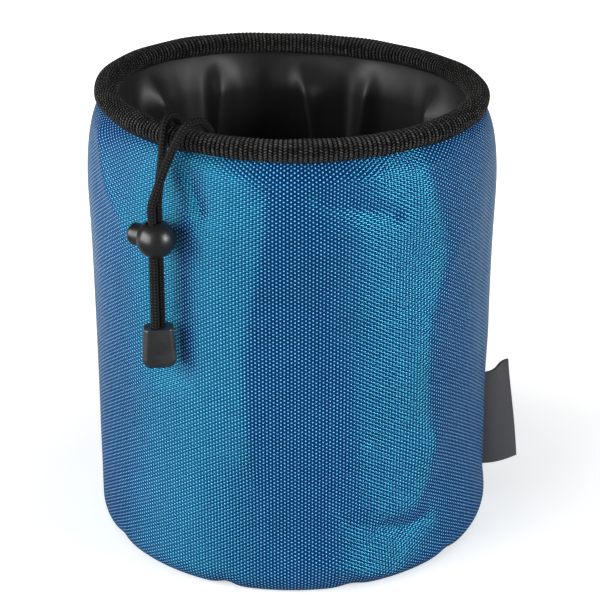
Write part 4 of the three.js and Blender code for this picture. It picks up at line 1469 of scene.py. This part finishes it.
def build_stitches(settings):
    """Stitches near the top of the hem's leg: bent thread pieces, one after the other round the collar.

    Each is a ring of points carried along a short arc that arches off the cloth and thins to its ends."""
    open_half = SLOT_SPREAD / 2 + STITCH_MARGIN
    span = 2 * math.pi - 2 * open_half
    count = int(span * HEM_RADIUS / STITCH_PITCH)
    middle = CORD_ANGLE + open_half + (np.arange(count) + 0.5) * span / count
    along = np.linspace(-1, 1, THREAD_RINGS)[None, :, None]
    side = around(THREAD_SIDES)
    angle = middle[:, None, None] + STITCH_SHARE * span / count * along + 0 * side
    thread = THREAD_RADIUS * np.sin((0.5 + THREAD_TAPER * along) * math.pi) ** THREAD_FULLNESS
    z = HEM_Z + HEM_LEG - STITCH_DROP
    cloth = LEG_TOP - COLLAR_THICKNESS - STITCH_DROP * (LEG_TOP - LEG_FOOT) / HEM_LEG
    arch = STITCH_ARCH * np.cos(along * math.pi / 2)
    rings = polar(angle, cloth + fold_shift(angle, z) - arch + thread * np.cos(side),
                  z + thread * np.sin(side))
    faces, _, _ = grid_faces(THREAD_RINGS, THREAD_SIDES, False, True)
    cap = np.array([[5, 4, 1, 0], [4, 3, 2, 1]])
    size = THREAD_RINGS * THREAD_SIDES
    one = np.concatenate([faces, cap, cap[:, ::-1] + size - THREAD_SIDES])
    every = (one[None] + size * np.arange(count)[:, None, None]).reshape(-1, 4)
    points = rings.reshape(-1, 3)
    if not outward(points, every):
        every = every[:, ::-1]
    mesh = bpy.data.meshes.new("hem_stitches")
    mesh.from_pydata(points.tolist(), [], every.tolist())
    mesh.shade_smooth()
    look = plastic_material("Thread", settings.thread, roughness=0.6, grain=0.0002, depth=0.00003,
                            sockets={"Sheen Weight": 0.3})
    return finish_piece(link_object("hem_stitches", mesh), "bag", [look])


# Label


def build_label(settings):
    """Side label: a strip that leaves the seam, curls back, folds at its free edge and returns beside
    itself.

    Its middle line turns by the curl angle times a sine of the distance, a quarter wave at the foot and
    more at the top, where the free edge turns out again. The curl angle grows toward the top."""
    half = LABEL_THICKNESS / 2 + GAP / 2
    rise = np.linspace(0, 1, LABEL_ROWS)[:, None]
    share = np.linspace(0, 1, LABEL_COLUMNS)[None, :]
    curl = LABEL_CURL_FOOT + (LABEL_CURL_TOP - LABEL_CURL_FOOT) * rise
    wave = np.sin(math.pi / 2 * share * (1 + LABEL_TOP_WAVE * rise**2))
    ripple = LABEL_RIPPLE * np.sin(LABEL_RIPPLE_TURNS[0] * rise + LABEL_RIPPLE_TURNS[1] * share)
    heading = LABEL_ANGLE - math.pi / 2 + curl * wave + ripple * share
    root = LABEL_SINK + LABEL_ROOT
    width = LABEL_WIDTH + root
    length = width / (LABEL_COLUMNS - 1)
    start = polar(LABEL_ANGLE, WALL_RADIUS - WAIST_DRAW - root, 0.0)
    x = start[0] + np.cumsum(np.cos(heading), axis=1) * length
    y = start[1] + np.cumsum(np.sin(heading), axis=1) * length
    turn = heading[:, -1:] + np.linspace(-math.pi / 2, math.pi / 2, 9)[None, :]

    def layer(offset):
        """The strip at an offset from its middle: front layer, the turn of the fold, rear layer."""
        reach = half + offset
        front = (x + reach * np.sin(heading), y - reach * np.cos(heading))
        fold = (x[:, -1:] + reach * np.cos(turn), y[:, -1:] + reach * np.sin(turn))
        rear = ((x - reach * np.sin(heading))[:, ::-1], (y + reach * np.cos(heading))[:, ::-1])
        return [np.concatenate([a, b[:, 1:-1], c], axis=1) for a, b, c in zip(front, fold, rear)]

    outer, inner = layer(LABEL_THICKNESS / 2), layer(-LABEL_THICKNESS / 2)
    plan = [np.concatenate([a, b[:, ::-1]], axis=1) for a, b in zip(outer, inner)]
    points = np.stack([*plan, LABEL_FOOT + rise * LABEL_HEIGHT + 0 * plan[0]], axis=-1)
    across = run_lengths(points[0])
    cloth = (np.linspace(0, LABEL_HEIGHT, LABEL_ROWS), np.append(across, across[-1] + LABEL_THICKNESS))
    label = grid_piece("side_label_strip", points, (False, True), cloth, caps=True)
    look = woven_material("Label ribbon", pitch=(0.00032, 0.00026), yarns=(settings.label, settings.label),
                          depth=0.00006, gap=0.5,
                          sockets={"Roughness": 0.62, "Sheen Weight": 0.25, "Sheen Roughness": 0.4})
    finish_piece(label, "bag", [look], ["side_label"])


# Operators


class PEGBAG_OT_stage(bpy.types.Operator):
    """Make the camera, the floor and the light"""

    bl_idname = "pegbag.stage"
    bl_label = "Stage"

    def execute(self, context):
        build_stage(context.scene.peg_bag_stage)
        return {"FINISHED"}


class PEGBAG_OT_cord_end(bpy.types.Operator):
    """Make the two halves of the cord end"""

    bl_idname = "pegbag.cord_end"
    bl_label = "Cord End"

    def execute(self, context):
        build_cord_end(context.scene.peg_bag_cord)
        return {"FINISHED"}


class PEGBAG_OT_cords(bpy.types.Operator):
    """Make the drawstring, after its cord end"""

    bl_idname = "pegbag.cords"
    bl_label = "Drawstring"

    def execute(self, context):
        build_cords(context.scene.peg_bag_cord)
        return {"FINISHED"}


class PEGBAG_OT_lock(bpy.types.Operator):
    """Make the ball, the button and the spring of the cord lock"""

    bl_idname = "pegbag.lock"
    bl_label = "Cord Lock"

    def execute(self, context):
        build_lock(context.scene.peg_bag_cord)
        return {"FINISHED"}


class PEGBAG_OT_wall(bpy.types.Operator):
    """Make the woven wall"""

    bl_idname = "pegbag.wall"
    bl_label = "Wall"

    def execute(self, context):
        build_wall(context.scene.peg_bag_cloth)
        return {"FINISHED"}


class PEGBAG_OT_base(bpy.types.Operator):
    """Make the base cloth and the lining, and finish the board"""

    bl_idname = "pegbag.base"
    bl_label = "Base"

    def execute(self, context):
        build_base(context.scene.peg_bag_cloth, context.scene.peg_bag_trim)
        return {"FINISHED"}


class PEGBAG_OT_rim(bpy.types.Operator):
    """Make the rim tape and its filler"""

    bl_idname = "pegbag.rim"
    bl_label = "Rim"

    def execute(self, context):
        build_tape(context.scene.peg_bag_trim)
        build_filler()
        return {"FINISHED"}


class PEGBAG_OT_collar(bpy.types.Operator):
    """Make the drawstring collar and its stitches"""

    bl_idname = "pegbag.collar"
    bl_label = "Collar"

    def execute(self, context):
        build_collar(context.scene.peg_bag_trim)
        return {"FINISHED"}


class PEGBAG_OT_label(bpy.types.Operator):
    """Make the folded side label"""

    bl_idname = "pegbag.label"
    bl_label = "Label"

    def execute(self, context):
        build_label(context.scene.peg_bag_trim)
        return {"FINISHED"}


OPERATORS = (PEGBAG_OT_stage, PEGBAG_OT_cord_end, PEGBAG_OT_cords, PEGBAG_OT_lock, PEGBAG_OT_wall,
             PEGBAG_OT_base, PEGBAG_OT_rim, PEGBAG_OT_collar, PEGBAG_OT_label)
SETTINGS = {"peg_bag_cloth": BagClothSettings, "peg_bag_trim": BagTrimSettings,
            "peg_bag_cord": BagCordSettings, "peg_bag_stage": BagStageSettings}


class PEGBAG_PT_build(bpy.types.Panel):
    """Lists the steps and the settings of the peg bag"""

    bl_idname = "PEGBAG_PT_build"
    bl_label = "Peg Bag"
    bl_space_type = "VIEW_3D"
    bl_region_type = "UI"
    bl_category = "Peg Bag"

    def draw(self, context):
        for operator in OPERATORS:
            self.layout.operator(operator.bl_idname)
        for name, group in SETTINGS.items():
            box = self.layout.box()
            box.label(text=group.__doc__)
            for setting in group.__annotations__:
                box.prop(getattr(context.scene, name), setting)


def register():
    for group in SETTINGS.values():
        bpy.utils.register_class(group)
    for operator in OPERATORS:
        bpy.utils.register_class(operator)
    bpy.utils.register_class(PEGBAG_PT_build)
    for name, group in SETTINGS.items():
        setattr(bpy.types.Scene, name, PointerProperty(type=group))


def unregister():
    for name in SETTINGS:
        delattr(bpy.types.Scene, name)
    bpy.utils.unregister_class(PEGBAG_PT_build)
    for operator in reversed(OPERATORS):
        bpy.utils.unregister_class(operator)
    for group in SETTINGS.values():
        bpy.utils.unregister_class(group)


def main():
    """Registers the add-on and runs its steps in order."""
    register()
    bpy.ops.pegbag.stage()
    bpy.ops.pegbag.cord_end()
    bpy.ops.pegbag.cords()
    bpy.ops.pegbag.lock()
    bpy.ops.pegbag.wall()
    bpy.ops.pegbag.base()
    bpy.ops.pegbag.rim()
    bpy.ops.pegbag.collar()
    bpy.ops.pegbag.label()


if __name__ == "__main__":
    main()
